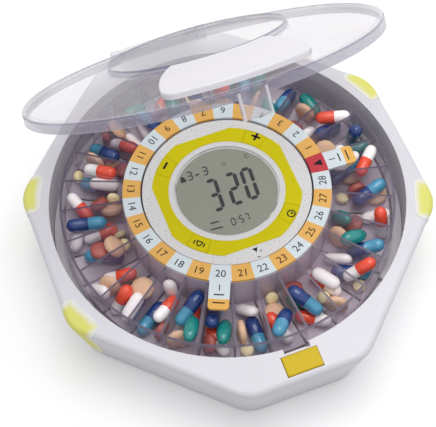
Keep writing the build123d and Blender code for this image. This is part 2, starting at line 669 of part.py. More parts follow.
def drive_pinion():
    """The motor's pinion with its shaft, in mesh with the driven gear."""
    first = -90.0 + 180.0 / PINION_TEETH
    outline = gear_outline(PINION_TEETH, PINION_ADDENDUM * GEAR_MODULE, first)
    wheel = Pos(*PINION_CENTRE, 0) * upright(outline, GEAR_LOW_Z, GEAR_LOW_Z + PINION_THICKNESS)
    return wheel + rod(SHAFT_RADIUS, DECK_LOW_Z - MOTOR_HEIGHT / 2, GEAR_LOW_Z + 1, PINION_CENTRE)


def motor_screw_places():
    """The two screws that hang the motor under the deck."""
    return [(PINION_CENTRE[0] + side * MOTOR_SCREW_OFFSET, PINION_CENTRE[1]) for side in (-1, 1)]


def drive_motor():
    """The flat geared motor, with two ears."""
    motor = rod(MOTOR_RADIUS, DECK_LOW_Z - MOTOR_HEIGHT, DECK_LOW_Z, PINION_CENTRE)
    ears = RectangleRounded(MOTOR_EAR_SPAN, MOTOR_EAR_WIDTH, MOTOR_EAR_WIDTH / 2 - 0.1)
    motor += Pos(*PINION_CENTRE, 0) * upright(ears, DECK_LOW_Z - MOTOR_EAR_THICKNESS, DECK_LOW_Z)
    shaft_bore = SHAFT_RADIUS + RUNNING_GAP
    motor -= rod(shaft_bore, DECK_LOW_Z - MOTOR_HEIGHT / 2 - 0.3, DECK_LOW_Z + 1, PINION_CENTRE)
    for place in motor_screw_places():
        hole = DECK_SCREW_RADIUS + SCREW_GAP
        motor -= rod(hole, DECK_LOW_Z - MOTOR_EAR_THICKNESS - 1, DECK_LOW_Z + 1, place)
    return motor


def motor_screws():
    """Two screws from below through the motor's ears into the deck."""
    head = DECK_SCREW_RADIUS * HEAD_RATIO
    head_high = DECK_LOW_Z - MOTOR_EAR_THICKNESS
    head_low = head_high - SMALL_HEAD_HEIGHT
    return all_of(
        screw(DECK_SCREW_RADIUS, head, head_low, head_high, DECK_TOP_Z - SCREW_END_GAP, place)
        for place in motor_screw_places()
    )


def index_switch():
    """The small switch under the deck that tells the board where the tray stands."""
    length, width, height = SWITCH_SIZE
    x = PINION_CENTRE[1]
    along = (x - length / 2, x + length / 2)
    return box(along, (-width / 2, width / 2), (DECK_LOW_Z - height, DECK_LOW_Z))


# ---- Tray and number ring -----------------------------------------------------------------------

def number_angle(number):
    """The direction of one numbered compartment's middle."""
    return -90.0 + (number - FRONT_NUMBER) * PITCH_ANGLE


def tray_floor():
    """The flat ring under the compartments."""
    return ring(TRAY_BORE, TRAY_RADIUS, TRAY_FLOOR_Z, TRAY_FLOOR_TOP_Z)


def tray_outer_wall():
    """The wall round the outside of the compartments."""
    return ring(TRAY_INSIDE, TRAY_RADIUS, TRAY_FLOOR_TOP_Z, TRAY_RIM_Z)


def tray_hub():
    """The raised hub inside the compartments, with the flat web that the number ring sits on."""
    wall = ring(TRAY_HUB_RADIUS - TRAY_WALL, TRAY_HUB_RADIUS, TRAY_FLOOR_TOP_Z, TRAY_HUB_TOP_Z)
    return wall + ring(TRAY_BORE, TRAY_HUB_RADIUS, TRAY_HUB_TOP_Z - TRAY_FLOOR_THICKNESS, TRAY_HUB_TOP_Z)


def tray_dividers():
    """The thin walls between compartments, higher at the hub than at the rim."""
    outline = [
        (TRAY_HUB_RADIUS, TRAY_FLOOR_TOP_Z),
        (TRAY_INSIDE, TRAY_FLOOR_TOP_Z),
        (TRAY_INSIDE, DIVIDER_OUTER_Z),
        (TRAY_HUB_RADIUS, DIVIDER_INNER_Z),
    ]
    face = Plane.XZ * Polygon(*outline, align=None)
    wall = Pos(0, DIVIDER_THICKNESS / 2, 0) * extrude(face, amount=DIVIDER_THICKNESS)
    hollow = rod(TRAY_HUB_RADIUS, TRAY_FLOOR_TOP_Z - 1, TRAY_HUB_TOP_Z + 1)
    wall = (wall & rod(TRAY_INSIDE, TRAY_FLOOR_TOP_Z, TRAY_HUB_TOP_Z)) - hollow
    middles = [number_angle(number) + PITCH_ANGLE / 2 for number in range(1, COMPARTMENTS + 1)]
    return all_of(Rot(0, 0, middle) * wall for middle in middles)


def number_ring():
    """The ring that carries the numbers, with two rounded tabs that reach over their compartments."""
    part = ring(TRAY_BORE, RING_RADIUS, TRAY_HUB_TOP_Z, RING_TOP_Z)
    length = TAB_LENGTH + RING_RADIUS - TRAY_BORE
    outline = RectangleRounded(2 * length, TAB_WIDTH, TAB_CORNER_RADIUS)
    tab = upright(outline, TRAY_HUB_TOP_Z, RING_TOP_Z)
    hole = rod(TRAY_BORE, TRAY_HUB_TOP_Z - 1, RING_TOP_Z + 1)
    for number in TAB_NUMBERS:
        part += Rot(0, 0, number_angle(number)) * (Pos(TRAY_BORE, 0, 0) * tab)
    return (part - hole).solids().sort_by(lambda solid: solid.volume)[-1]


# ---- Dial ---------------------------------------------------------------------------------------

def key_outline(angle, extra):
    """One key's outline within the band, grown by extra on every side."""
    outer = BAND_RADIUS - KEY_MARGIN + extra
    inner = BAND_INNER_RADIUS + KEY_MARGIN - extra
    half = radians(KEY_HALF_ANGLE) + extra / KEY_RADIUS
    corners = [(0.0, 0.0), (2 * outer, -2 * outer * tan(half)), (2 * outer, 2 * outer * tan(half))]
    return Rot(0, 0, angle) * ((Polygon(*corners, align=None) & Circle(outer)) - Circle(inner))


def dial_cover():
    """The white disc on the column, with seats for the band, keys, window and display."""
    part = rod(COLUMN_RADIUS, DIAL_UNDER_Z, DIAL_TOP_Z)
    spigot_radius = COLUMN_BORE - CASE_GAP
    spigot_end = DIAL_UNDER_Z - DIAL_SPIGOT_DEPTH
    part += ring(spigot_radius - DIAL_SPIGOT_WALL, spigot_radius, spigot_end, DIAL_TOP_Z)
    part += rod(DISPLAY_BORE + DISPLAY_COLLAR_WALL, DIAL_UNDER_Z - DISPLAY_COLLAR_DEPTH, DIAL_TOP_Z)
    part -= rod(DISPLAY_BORE, DIAL_UNDER_Z - DISPLAY_COLLAR_DEPTH - 1, DIAL_TOP_Z + 1)
    part -= rod(WINDOW_RADIUS + PIN_SEAT_GAP, WINDOW_LOW_Z, DIAL_TOP_Z + 1)
    part -= upright(band_outline(), BAND_LOW_Z, DIAL_TOP_Z + 1)
    for angle in KEY_ANGLES.values():
        part -= upright(key_outline(angle, 0.0), BAND_LOW_Z - KEY_TRAVEL - KEY_FLOOR_GAP, DIAL_TOP_Z + 1)
        hole_radius = KEY_STEM_RADIUS + KEY_STEM_GAP
        part -= rod(hole_radius, DIAL_UNDER_Z - 1, DIAL_TOP_Z + 1, polar(KEY_RADIUS, angle))
    return part


def band_outline():
    """The band round the display: a disc with a flat at the front, rear and sides."""
    outer = Circle(BAND_RADIUS) & Rectangle(2 * BAND_FLAT, 2 * BAND_FLAT)
    return outer - Circle(BAND_INNER_RADIUS)


def key_overlay():
    """The band as a thin sheet, with a window for each key."""
    sheet = upright(band_outline(), BAND_LOW_Z, BAND_TOP_Z)
    for angle in KEY_ANGLES.values():
        sheet -= upright(key_outline(angle, 0.0), BAND_LOW_Z - 1, BAND_TOP_Z + 1)
    return sheet


def key(angle):
    """One key of the band with the stem that reaches its switch."""
    cap = upright(key_outline(angle, -KEY_GAP), BAND_LOW_Z, BAND_TOP_Z)
    return cap + rod(KEY_STEM_RADIUS, STEM_END_Z, BAND_LOW_Z + 0.1, polar(KEY_RADIUS, angle))


def display_window():
    """The clear disc over the display."""
    return rod(WINDOW_RADIUS, WINDOW_LOW_Z, DIAL_TOP_Z)


def display_module():
    """The round liquid crystal display."""
    return rod(DISPLAY_RADIUS, DISPLAY_LOW_Z, DISPLAY_TOP_Z)


def contact_strips():
    """The two rubber strips that join the display to the board."""
    length, width = STRIP_SIZE
    pieces = []
    for y in (-STRIP_OFFSET, STRIP_OFFSET):
        across = (y - width / 2, y + width / 2)
        pieces.append(box((-length / 2, length / 2), across, (BOARD_TOP_Z, DISPLAY_LOW_Z)))
    return all_of(pieces)


def board_screw_places():
    """Screws round the edge of the board."""
    return [polar(BOARD_SCREW_RING, 90.0 + i * 360.0 / BOARD_SCREWS) for i in range(BOARD_SCREWS)]


def main_board():
    """The round circuit board on the ledge inside the column."""
    board = rod(BOARD_RADIUS, BOARD_LOW_Z, BOARD_TOP_Z)
    for place in board_screw_places():
        board -= rod(BOARD_SCREW_RADIUS + SCREW_GAP, BOARD_LOW_Z - 1, BOARD_TOP_Z + 1, place)
    return board


def board_screws():
    """Screws from above through the board into the column's ledge."""
    head = BOARD_SCREW_RADIUS * HEAD_RATIO
    tip = BOARD_LOW_Z - BOARD_SCREW_LENGTH + SCREW_END_GAP
    return all_of(
        screw(BOARD_SCREW_RADIUS, head, BOARD_TOP_Z, BOARD_TOP_Z + BOARD_HEAD_HEIGHT, tip, place)
        for place in board_screw_places()
    )


def tact_switches():
    """The push switch under each key."""
    half = TACT_SWITCH_SIZE / 2
    pieces = []
    for angle in KEY_ANGLES.values():
        x, y = polar(KEY_RADIUS, angle)
        pieces.append(box((x - half, x + half), (y - half, y + half), (BOARD_TOP_Z, SWITCH_TOP_Z)))
    return all_of(pieces)


# ---- Batteries and speaker ----------------------------------------------------------------------

def battery_columns():
    """X of each battery, and which way its nub points."""
    first = -BATTERY_PITCH * (BATTERY_COUNT - 1) / 2
    return [(first + i * BATTERY_PITCH, 1 if i % 2 == 0 else -1) for i in range(BATTERY_COUNT)]


def batteries():
    """Four AA batteries side by side, alternately turned."""
    can_length = BATTERY_LENGTH - BATTERY_NUB_LENGTH
    pieces = []
    for x, way in battery_columns():
        can = Cylinder(BATTERY_RADIUS, can_length)
        nub = rod(BATTERY_NUB_RADIUS, can_length / 2, can_length / 2 + BATTERY_NUB_LENGTH)
        battery = Pos(0, 0, -BATTERY_NUB_LENGTH / 2) * (can + nub)
        pieces.append(Pos(x, 0, BATTERY_Z) * Rot(-90 * way, 0, 0) * battery)
    return all_of(pieces)


def battery_contacts():
    """A pressed plate with a bump at each end of each battery."""
    width, thickness, height = CONTACT_PLATE
    bump = CONTACT_DEPTH - thickness
    pieces = []
    for x, way in battery_columns():
        for end in (-1, 1):
            outer_y = end * BAY_HALF_Y
            inner_y = end * (BAY_HALF_Y - thickness)
            low_z = BATTERY_Z - height / 2
            across = (x - width / 2, x + width / 2)
            plate = box(across, sorted((outer_y, inner_y)), (low_z, low_z + height))
            middle_y = end * (BATTERY_LENGTH / 2 + bump / 2)
            plate += Pos(x, middle_y, BATTERY_Z) * Rot(90, 0, 0) * Cylinder(CONTACT_BUMP_RADIUS, bump)
            pieces.append(plate)
    return all_of(pieces)


def speaker():
    """The alarm's speaker, on the bottom cover over its holes."""
    basket = rod(SPEAKER_RADIUS, COVER_TOP_Z, COVER_TOP_Z + SPEAKER_HEIGHT / 2, SPEAKER_PLACE)
    return basket + rod(SPEAKER_MAGNET_RADIUS, COVER_TOP_Z, COVER_TOP_Z + SPEAKER_HEIGHT, SPEAKER_PLACE)


# ---- Lid ----------------------------------------------------------------------------------------

def opened(piece):
    """A piece of the closed lid, turned about the hinge to where it stands open."""
    return Pos(0, HINGE_Y, HINGE_Z) * Rot(-LID_OPEN_ANGLE, 0, 0) * Pos(0, -HINGE_Y, -HINGE_Z) * piece


def dome_arc(rise):
    """The dome's profile from the rim up to the foot of the raised disc, lifted by rise."""
    low = (DOME_FOOT_RADIUS, LID_RIM_Z + rise)
    high = (DOME_TOP_RADIUS, DOME_TOP_Z + rise)
    middle = ((low[0] + high[0]) / 2, (low[1] + high[1]) / 2 + DOME_BULGE)
    return ThreePointArc(low, middle, high)


def chain(points):
    """Straight lines from each point to the next."""
    return [Line(start, end) for start, end in zip(points, points[1:])]


def turned(lines):
    """The solid that a closed profile of radius and height sweeps round the Z axis."""
    return revolve(Plane.XZ * make_face(lines), Axis.Z)


def lid_shell():
    """The round lid: a raised disc, a shallow dome, a narrow flat rim and a skirt."""
    disc_top = DOME_TOP_Z + LID_DISC_RISE
    under = -LID_THICKNESS
    inner = LID_RADIUS - LID_THICKNESS
    upper = [(DOME_TOP_RADIUS, DOME_TOP_Z), (LID_DISC_RADIUS, disc_top), (0, disc_top)]
    lower = [(radius, z + under) for radius, z in reversed(upper)]
    rim = [
        (DOME_FOOT_RADIUS, LID_RIM_Z + under),
        (inner, LID_RIM_Z + under),
        (inner, LID_SKIRT_LOW_Z),
        (LID_RADIUS, LID_SKIRT_LOW_Z),
        (LID_RADIUS, LID_RIM_Z),
        (DOME_FOOT_RADIUS, LID_RIM_Z),
    ]
    shell = turned([dome_arc(0.0), *chain(upper + lower), dome_arc(under), *chain(rim)])
    edges = [
        edge for edge in shell.edges().filter_by(GeomType.CIRCLE)
        if abs(edge.radius - LID_RADIUS) < 0.01 and abs(edge.center().Z - LID_RIM_Z) < 0.01
    ]
    return fillet(edges, LID_EDGE_RADIUS)


def lid_tongue():
    """The tongue at the lid's front, with a rib on each side and a barb that the latch holds."""
    half = TONGUE_WIDTH / 2
    back_y = TONGUE_FACE_Y + TONGUE_THICKNESS
    tongue = box((-half, half), (TONGUE_FACE_Y, back_y), (TONGUE_LOW_Z, LID_RIM_Z - LID_EDGE_RADIUS))
    rib_width, rib_depth = TONGUE_RIB
    for x in (-half, half - rib_width):
        rib_z = (TONGUE_LOW_Z, LID_RIM_Z - LID_THICKNESS)
        tongue += box((x, x + rib_width), (back_y - 0.5, back_y + rib_depth), rib_z)
    barb_low = TONGUE_LOW_Z + BARB_RISE
    points = [
        (TONGUE_FACE_Y + 0.2, barb_low),
        (TONGUE_FACE_Y + 0.2, barb_low + BARB_HEIGHT),
        (TONGUE_FACE_Y - BARB_DEPTH, barb_low + BARB_HEIGHT),
        (TONGUE_FACE_Y - BARB_DEPTH, barb_low + BARB_HEIGHT / 2),
    ]
    return tongue + side_profile(points, -BARB_WIDTH / 2, BARB_WIDTH / 2)


def lid_arm():
    """The bent arm from the lid's rear to its knuckle."""
    start = LID_RADIUS - LID_THICKNESS / 2
    bend = HINGE_Y - KNUCKLE_RADIUS
    inside_knuckle = KNUCKLE_RADIUS / sqrt(2)
    points = [
        (start, LID_RIM_Z - LID_EDGE_RADIUS / 2),
        (bend, LID_RIM_Z - LID_EDGE_RADIUS / 2),
        (HINGE_Y + inside_knuckle, HINGE_Z + inside_knuckle),
        (HINGE_Y, HINGE_Z),
        (HINGE_Y - inside_knuckle, HINGE_Z + inside_knuckle / 2),
        (bend - 1, LID_RIM_Z - HINGE_ARM_THICKNESS),
        (start, LID_RIM_Z - HINGE_ARM_THICKNESS),
    ]
    return side_profile(points, -HINGE_ARM_HALF_WIDTH, HINGE_ARM_HALF_WIDTH)


def lid():
    """The clear lid with its knuckle, arm and tongue, open."""
    part = lid_shell() + lid_tongue() + lid_arm()
    part += cross_rod(KNUCKLE_RADIUS, KNUCKLE_HALF_WIDTH, HINGE_Y, HINGE_Z)
    part -= cross_rod(HINGE_PIN_RADIUS + RUNNING_GAP, SIDE_HALF, HINGE_Y, HINGE_Z)
    return opened(part)


def lid_plate():
    """The plain white plate bonded to the dome in front of the raised disc."""
    ends = [
        Line((radius, z + GLUE_GAP), (radius, z + PLATE_THICKNESS))
        for radius, z in ((DOME_FOOT_RADIUS, LID_RIM_Z), (DOME_TOP_RADIUS, DOME_TOP_Z))
    ]
    layer = turned([dome_arc(GLUE_GAP), dome_arc(PLATE_THICKNESS), *ends])
    outline = Circle(PLATE_FRONT_RADIUS)
    for x_sign in (-1, 1):
        side_x = x_sign * (PLATE_SIDE_RADIUS - PLATE_HALF_WIDTH)
        outline &= Pos(side_x, PLATE_WIDEST_Y, 0) * Circle(PLATE_SIDE_RADIUS)
    outline -= Circle(DOME_TOP_RADIUS + PLATE_DISC_GAP)
    prism = upright(outline, LID_RIM_Z - 1, DOME_TOP_Z + 2 * PLATE_THICKNESS)
    corners = [
        edge for edge in prism.edges().filter_by(Axis.Z)
        if Vector(edge.center().X, edge.center().Y, 0).length > PLATE_FRONT_RADIUS - 1
    ]
    prism = fillet(corners, PLATE_CORNER_RADIUS)
    plate = layer & prism
    top = plate.faces().sort_by(SortBy.AREA)[-2:].sort_by(Axis.Z)[-1]
    return opened(fillet(top.edges(), PLATE_EDGE_RADIUS))


def hinge_pin():
    """The steel pin through both ears and the lid's knuckle."""
    half = KNUCKLE_HALF_WIDTH + KNUCKLE_SIDE_GAP + EAR_THICKNESS
    return cross_rod(HINGE_PIN_RADIUS, half, HINGE_Y, HINGE_Z)


# ---- Latch --------------------------------------------------------------------------------------

def latch_button():
    """The yellow button in front of the well, with the skirt that keeps it in and its stem."""
    top_inner = top_z(-BUTTON_INNER_Y) + BUTTON_PROUD
    top_outer = top_z(-BUTTON_OUTER_Y) + BUTTON_PROUD
    points = [
        (BUTTON_INNER_Y, BUTTON_SKIRT_Z - BUTTON_SKIRT_THICKNESS),
        (BUTTON_INNER_Y, top_inner),
        (BUTTON_OUTER_Y, top_outer),
        (BUTTON_OUTER_Y, BUTTON_SKIRT_Z - BUTTON_SKIRT_THICKNESS),
    ]
    cap = side_profile(points, -BUTTON_HALF_WIDTH, BUTTON_HALF_WIDTH)
    upper = [edge for edge in cap.edges() if edge.center().Z > BUTTON_SKIRT_Z + 1]
    cap = fillet(upper, BUTTON_EDGE_RADIUS)
    reach = BUTTON_SKIRT_REACH
    skirt_z = (BUTTON_SKIRT_Z - BUTTON_SKIRT_THICKNESS, BUTTON_SKIRT_Z)
    outer_x = BUTTON_HALF_WIDTH + reach
    cap += box((-outer_x, outer_x), (BUTTON_OUTER_Y - reach, BUTTON_INNER_Y + reach), skirt_z)
    inner_x = BUTTON_HALF_WIDTH - BUTTON_WALL
    hollow_y = (BUTTON_OUTER_Y + BUTTON_WALL, BUTTON_INNER_Y - BUTTON_WALL)
    cap -= box((-inner_x, inner_x), hollow_y, (skirt_z[0] - 1, top_outer - BUTTON_WALL))
    tooth_way = (BUTTON_INNER_Y - BUTTON_WALL - 1, BUTTON_INNER_Y + reach + 1)
    cap -= box((-inner_x, inner_x), tooth_way, (skirt_z[0] - 1, BUTTON_NOTCH_Z))
    stem_y = LEVER_PIVOT_Y - STEM_OFFSET
    stem_end = LEVER_PIVOT_Z + LEVER_ARM_RISE + LEVER_ARM_THICKNESS + STEM_GAP + STEM_HALF_THICKNESS
    stem_x = (-STEM_HALF_WIDTH, STEM_HALF_WIDTH)
    stem_across = (stem_y - STEM_HALF_THICKNESS, stem_y + STEM_HALF_THICKNESS)
    cap += box(stem_x, stem_across, (stem_end, top_outer - 1))
    return cap + cross_rod(STEM_HALF_THICKNESS, STEM_HALF_WIDTH, stem_y, stem_end)


def latch_lever():
    """The lever whose tooth holds the lid's barb; the button's stem tips it back."""
    half = LEVER_HALF_WIDTH
    part = cross_rod(LEVER_BOSS_RADIUS, half, LEVER_PIVOT_Y, LEVER_PIVOT_Z)
    post_y = (LEVER_PIVOT_Y - LEVER_POST_THICKNESS / 2, LEVER_PIVOT_Y + LEVER_POST_THICKNESS / 2)
    part += box((-half, half), post_y, (LEVER_PIVOT_Z, TOOTH_TOP_Z))
    part += box((-half, half), (post_y[0], TOOTH_TIP_Y), (TOOTH_TOP_Z - TOOTH_HEIGHT, TOOTH_TOP_Z))
    arm_low = LEVER_PIVOT_Z + LEVER_ARM_RISE
    arm_y = (LEVER_PIVOT_Y - LEVER_ARM_REACH, LEVER_PIVOT_Y)
    part += box((-half, half), arm_y, (arm_low, arm_low + LEVER_ARM_THICKNESS))
    return part - cross_rod(LEVER_PIN_RADIUS + RUNNING_GAP, half + 1, LEVER_PIVOT_Y, LEVER_PIVOT_Z)


def latch_pin():
    """The lever's pin."""
    half = LEVER_HALF_WIDTH + LATCH_EAR_GAP + LATCH_EAR_THICKNESS
    return cross_rod(LEVER_PIN_RADIUS, half, LEVER_PIVOT_Y, LEVER_PIVOT_Z)


def latch_spring():
    """The coil spring between the housing's shelf and the lever's arm."""
    low = SHELF_Z + SPRING_WIRE_RADIUS
    height = LEVER_PIVOT_Z + LEVER_ARM_RISE - SHELF_Z - 2 * SPRING_WIRE_RADIUS
    path = Helix(height / SPRING_TURNS, height, SPRING_RADIUS)
    wire = Plane(path @ 0, z_dir=path % 0) * Circle(SPRING_WIRE_RADIUS)
    return Pos(0, LEVER_PIVOT_Y - SPRING_OFFSET, low) * sweep(wire, path=path)


# ---- The sub-parts ------------------------------------------------------------------------------

def build_nodes():
    """Every sub-part by its node's name."""
    outer = housing_block(COVER_TOP_Z, 0.0)
    blocks = (housing_block(COVER_TOP_Z, -GRIP_PROUD), housing_block(COVER_TOP_Z - 1, GRIP_DEPTH))
    grips = {
        "grip_front_left": corner_grip(-1, -1, blocks),
        "grip_front_right": corner_grip(1, -1, blocks),
        "grip_rear_left": corner_grip(-1, 1, blocks),
        "grip_rear_right": corner_grip(1, 1, blocks),
    }
    nodes = {
        "upper_housing": upper_housing(outer, grips.values()),
        "bottom_cover": bottom_cover(),
        "battery_door": battery_door(),
        "rubber_feet": rubber_feet(),
        "case_screws": case_screws(),
        "deck": deck(),
        "dial_column": dial_column(),
        "deck_screws": deck_screws(),
        "turntable_gear": turntable_gear(),
        "drive_pinion": drive_pinion(),
        "drive_motor": drive_motor(),
        "motor_screws": motor_screws(),
        "index_switch": index_switch(),
        "tray_floor": tray_floor(),
        "tray_outer_wall": tray_outer_wall(),
        "tray_hub": tray_hub(),
        "tray_dividers": tray_dividers(),
        "number_ring": number_ring(),
        "dial_cover": dial_cover(),
        "key_overlay": key_overlay(),
        "display_window": display_window(),
        "display_module": display_module(),
        "contact_strips": contact_strips(),
        "main_board": main_board(),
        "board_screws": board_screws(),
        "tact_switches": tact_switches(),
        "batteries": batteries(),
        "battery_contacts": battery_contacts(),
        "speaker": speaker(),
        "lid": lid(),
        "lid_plate": lid_plate(),
        "hinge_pin": hinge_pin(),
        "latch_button": latch_button(),
        "latch_lever": latch_lever(),
        "latch_pin": latch_pin(),
        "latch_spring": latch_spring(),
    }
    nodes.update(grips)
    nodes.update({name: key(angle) for name, angle in KEY_ANGLES.items()})
    return nodes


os.makedirs("parts", exist_ok=True)
for name, shape in build_nodes().items():
    export_step(shape, f"parts/{name}.step")
    print(name, len(shape.solids()), round(shape.volume))
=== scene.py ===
# %% [markdown]
# # An automatic pill dispenser
#
# The device is a white eight-sided housing with a round well. A mauve tray of 29 wedge-shaped
# compartments turns in it, round a fixed dial with a display and four keys, under a clear lid.
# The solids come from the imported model, where they are already at their real size and place.
# This notebook gives each of them its finish, prints the dial, and fills the tray with pills.

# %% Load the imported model
import json
from math import atan2, cos, degrees, hypot, pi, radians, sin
from random import Random

import bmesh
import bpy
from mathutils import Euler, Matrix, Quaternion, Vector

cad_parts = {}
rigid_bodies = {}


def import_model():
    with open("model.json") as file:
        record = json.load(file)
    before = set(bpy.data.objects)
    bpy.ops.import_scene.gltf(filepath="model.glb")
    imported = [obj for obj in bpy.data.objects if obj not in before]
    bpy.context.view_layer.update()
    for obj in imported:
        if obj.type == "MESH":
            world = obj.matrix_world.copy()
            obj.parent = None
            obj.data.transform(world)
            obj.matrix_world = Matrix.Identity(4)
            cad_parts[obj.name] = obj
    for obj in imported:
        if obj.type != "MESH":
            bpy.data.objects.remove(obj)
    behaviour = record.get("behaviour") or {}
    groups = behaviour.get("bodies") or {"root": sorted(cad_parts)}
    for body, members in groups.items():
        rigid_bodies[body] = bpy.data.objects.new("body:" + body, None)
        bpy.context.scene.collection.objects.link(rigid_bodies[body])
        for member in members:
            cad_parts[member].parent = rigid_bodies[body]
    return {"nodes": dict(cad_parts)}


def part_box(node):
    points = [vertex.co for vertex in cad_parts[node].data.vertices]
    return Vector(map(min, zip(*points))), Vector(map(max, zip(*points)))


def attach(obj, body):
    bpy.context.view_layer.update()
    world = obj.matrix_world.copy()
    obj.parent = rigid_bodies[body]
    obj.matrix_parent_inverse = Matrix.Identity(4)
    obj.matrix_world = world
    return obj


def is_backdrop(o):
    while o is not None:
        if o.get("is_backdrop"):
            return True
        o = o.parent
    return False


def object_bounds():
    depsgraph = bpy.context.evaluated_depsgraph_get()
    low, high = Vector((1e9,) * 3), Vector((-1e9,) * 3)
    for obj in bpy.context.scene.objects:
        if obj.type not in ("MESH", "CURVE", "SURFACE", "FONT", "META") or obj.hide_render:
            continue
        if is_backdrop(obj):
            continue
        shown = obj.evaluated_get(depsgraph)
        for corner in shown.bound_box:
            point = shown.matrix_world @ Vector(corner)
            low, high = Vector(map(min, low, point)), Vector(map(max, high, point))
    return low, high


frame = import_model()
cad_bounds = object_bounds()
nodes = frame["nodes"]

# %% [markdown]
# ## Units, colours and nodes
#
# Everything is in metres, so sizes written in millimetres are multiplied by MM. Colours are
# written as the sRGB hex values that a paint chart would give, and one function turns them to the
# linear numbers that shaders use. The others add a shader or geometry node, fill in its inputs,
# and link it. Most materials here use two of them: soft noise, and a fine relief made from it.

# %% Helpers for units, colours and nodes
MM = 0.001
WHITE = (1, 1, 1, 1)


def linear(colour):
    """An sRGB hex colour such as #E8E6EC as linear red, green, blue and alpha."""
    channels = [int(colour[i:i + 2], 16) / 255 for i in (1, 3, 5)]
    return [c / 12.92 if c <= 0.04045 else ((c + 0.055) / 1.055) ** 2.4 for c in channels] + [1.0]


def fill(node, inputs):
    """Fills in a node's inputs. One that is a socket is linked, and any other is set."""
    for name, value in inputs.items():
        if isinstance(value, bpy.types.NodeSocket):
            node.id_data.links.new(value, node.inputs[name])
        else:
            node.inputs[name].default_value = value


def add(tree, kind, inputs=None, **settings):
    """A new node in the tree, with its settings and inputs."""
    node = tree.nodes.new(kind)
    for name, value in settings.items():
        setattr(node, name, value)
    fill(node, inputs or {})
    return node


def maths(tree, operation, first, second=0.0, **settings):
    """The result of a sum on two sockets or numbers."""
    return add(tree, "ShaderNodeMath", {0: first, 1: second}, operation=operation, **settings).outputs[0]


def mixed(tree, factor, low, high):
    """A colour between low and high. The three sockets are those of the node's colour mode."""
    return add(tree, "ShaderNodeMix", {0: factor, 6: low, 7: high}, data_type="RGBA").outputs[2]


def ranged(tree, value, low, high, start=0.0, end=1.0, **settings):
    """The value's range from start to end, stretched to run from low to high."""
    inputs = {"Value": value, "From Min": start, "From Max": end, "To Min": low, "To Max": high}
    return add(tree, "ShaderNodeMapRange", inputs, **settings).outputs[0]


def noise(tree, place, size, detail=1.0):
    """Soft random patches of about this size, from 0 to 1."""
    inputs = {"Vector": place, "Scale": 1 / size, "Detail": detail}
    return add(tree, "ShaderNodeTexNoise", inputs).outputs["Fac"]


def emboss(shader, height, depth):
    """Gives the shader's skin a fine relief of this depth."""
    relief = add(shader.id_data, "ShaderNodeBump", {"Height": height, "Distance": depth})
    fill(shader, {"Normal": relief.outputs[0]})


def reach_from_axis(tree, place):
    """How far each point is from the Z axis."""
    flat = add(tree, "ShaderNodeVectorMath", {0: place, 1: (1.0, 1.0, 0.0)}, operation="MULTIPLY")
    return add(tree, "ShaderNodeVectorMath", {0: flat.outputs[0]}, operation="LENGTH").outputs["Value"]


def emptied(owner):
    """The node tree of a material or a world, with nothing in it."""
    owner.use_nodes = True
    owner.node_tree.nodes.clear()
    return owner.node_tree


def new_material(name):
    """An empty material, its node tree, its shader and a socket with the object's coordinates."""
    material = bpy.data.materials.new(name)
    tree = emptied(material)
    shader = add(tree, "ShaderNodeBsdfPrincipled")
    add(tree, "ShaderNodeOutputMaterial", {"Surface": shader.outputs[0]})
    place = add(tree, "ShaderNodeTexCoord").outputs["Object"]
    return material, tree, shader, place


def new_object(name, data):
    """An object in the scene, made from this data."""
    made = bpy.data.objects.new(name, data)
    bpy.context.scene.collection.objects.link(made)
    return made


def discard(made):
    """Removes an object and its data."""
    data = made.data
    bpy.data.objects.remove(made)
    bpy.data.batch_remove([data])


def paint(piece, material):
    """Gives the whole of a piece one material."""
    piece.data.materials.clear()
    piece.data.materials.append(material)


painted = set()              # names of the nodes that have their finish


def dress(names, material):
    """Gives the nodes of these names one material."""
    for name in names.split():
        paint(nodes[name], material)
        painted.add(name)


def plain_mesh(source):
    """The mesh that an object makes once its text or its modifiers are worked out."""
    bpy.context.view_layer.update()
    return bpy.data.meshes.new_from_object(source.evaluated_get(bpy.context.evaluated_depsgraph_get()))


# %% [markdown]
# ## The view
#
# A long lens stands in front of the device and to its left, and looks down steeply. The floor is
# plain and pale, and glows more the further it is from the device, until it meets the white world.
# So the device seems to stand on nothing but its own soft shadow. One wide lamp hangs overhead, a
# little behind and to the right, and gives the shadow its side.

# %% Camera
PICTURE_WIDTH = 436
FOCAL_PIXELS = 1400.0
SENSOR_WIDTH = 36.0
VIEW_DISTANCE = 762.46 * MM
VIEW_AZIMUTH = radians(-19.11)
VIEW_ELEVATION = radians(59.11)
VIEW_ROLL = radians(-2.2)
VIEW_TARGET = Vector((-4.73, 2.33, 25.0)) * MM

towards_camera = Vector((
    sin(VIEW_AZIMUTH) * cos(VIEW_ELEVATION),
    -cos(VIEW_AZIMUTH) * cos(VIEW_ELEVATION),
    sin(VIEW_ELEVATION),
))
camera_data = bpy.data.cameras.new("studio_camera")
camera_data.sensor_width = SENSOR_WIDTH
camera_data.lens = FOCAL_PIXELS * SENSOR_WIDTH / PICTURE_WIDTH
camera_data.clip_start = 50 * MM
camera = new_object("studio_camera", camera_data)
camera.location = VIEW_TARGET + VIEW_DISTANCE * towards_camera
turn = (-towards_camera).to_track_quat("-Z", "Y") @ Quaternion((0, 0, 1), VIEW_ROLL)
camera.rotation_euler = turn.to_euler()
bpy.context.scene.camera = camera
print("lens", round(camera_data.lens, 1), "mm")

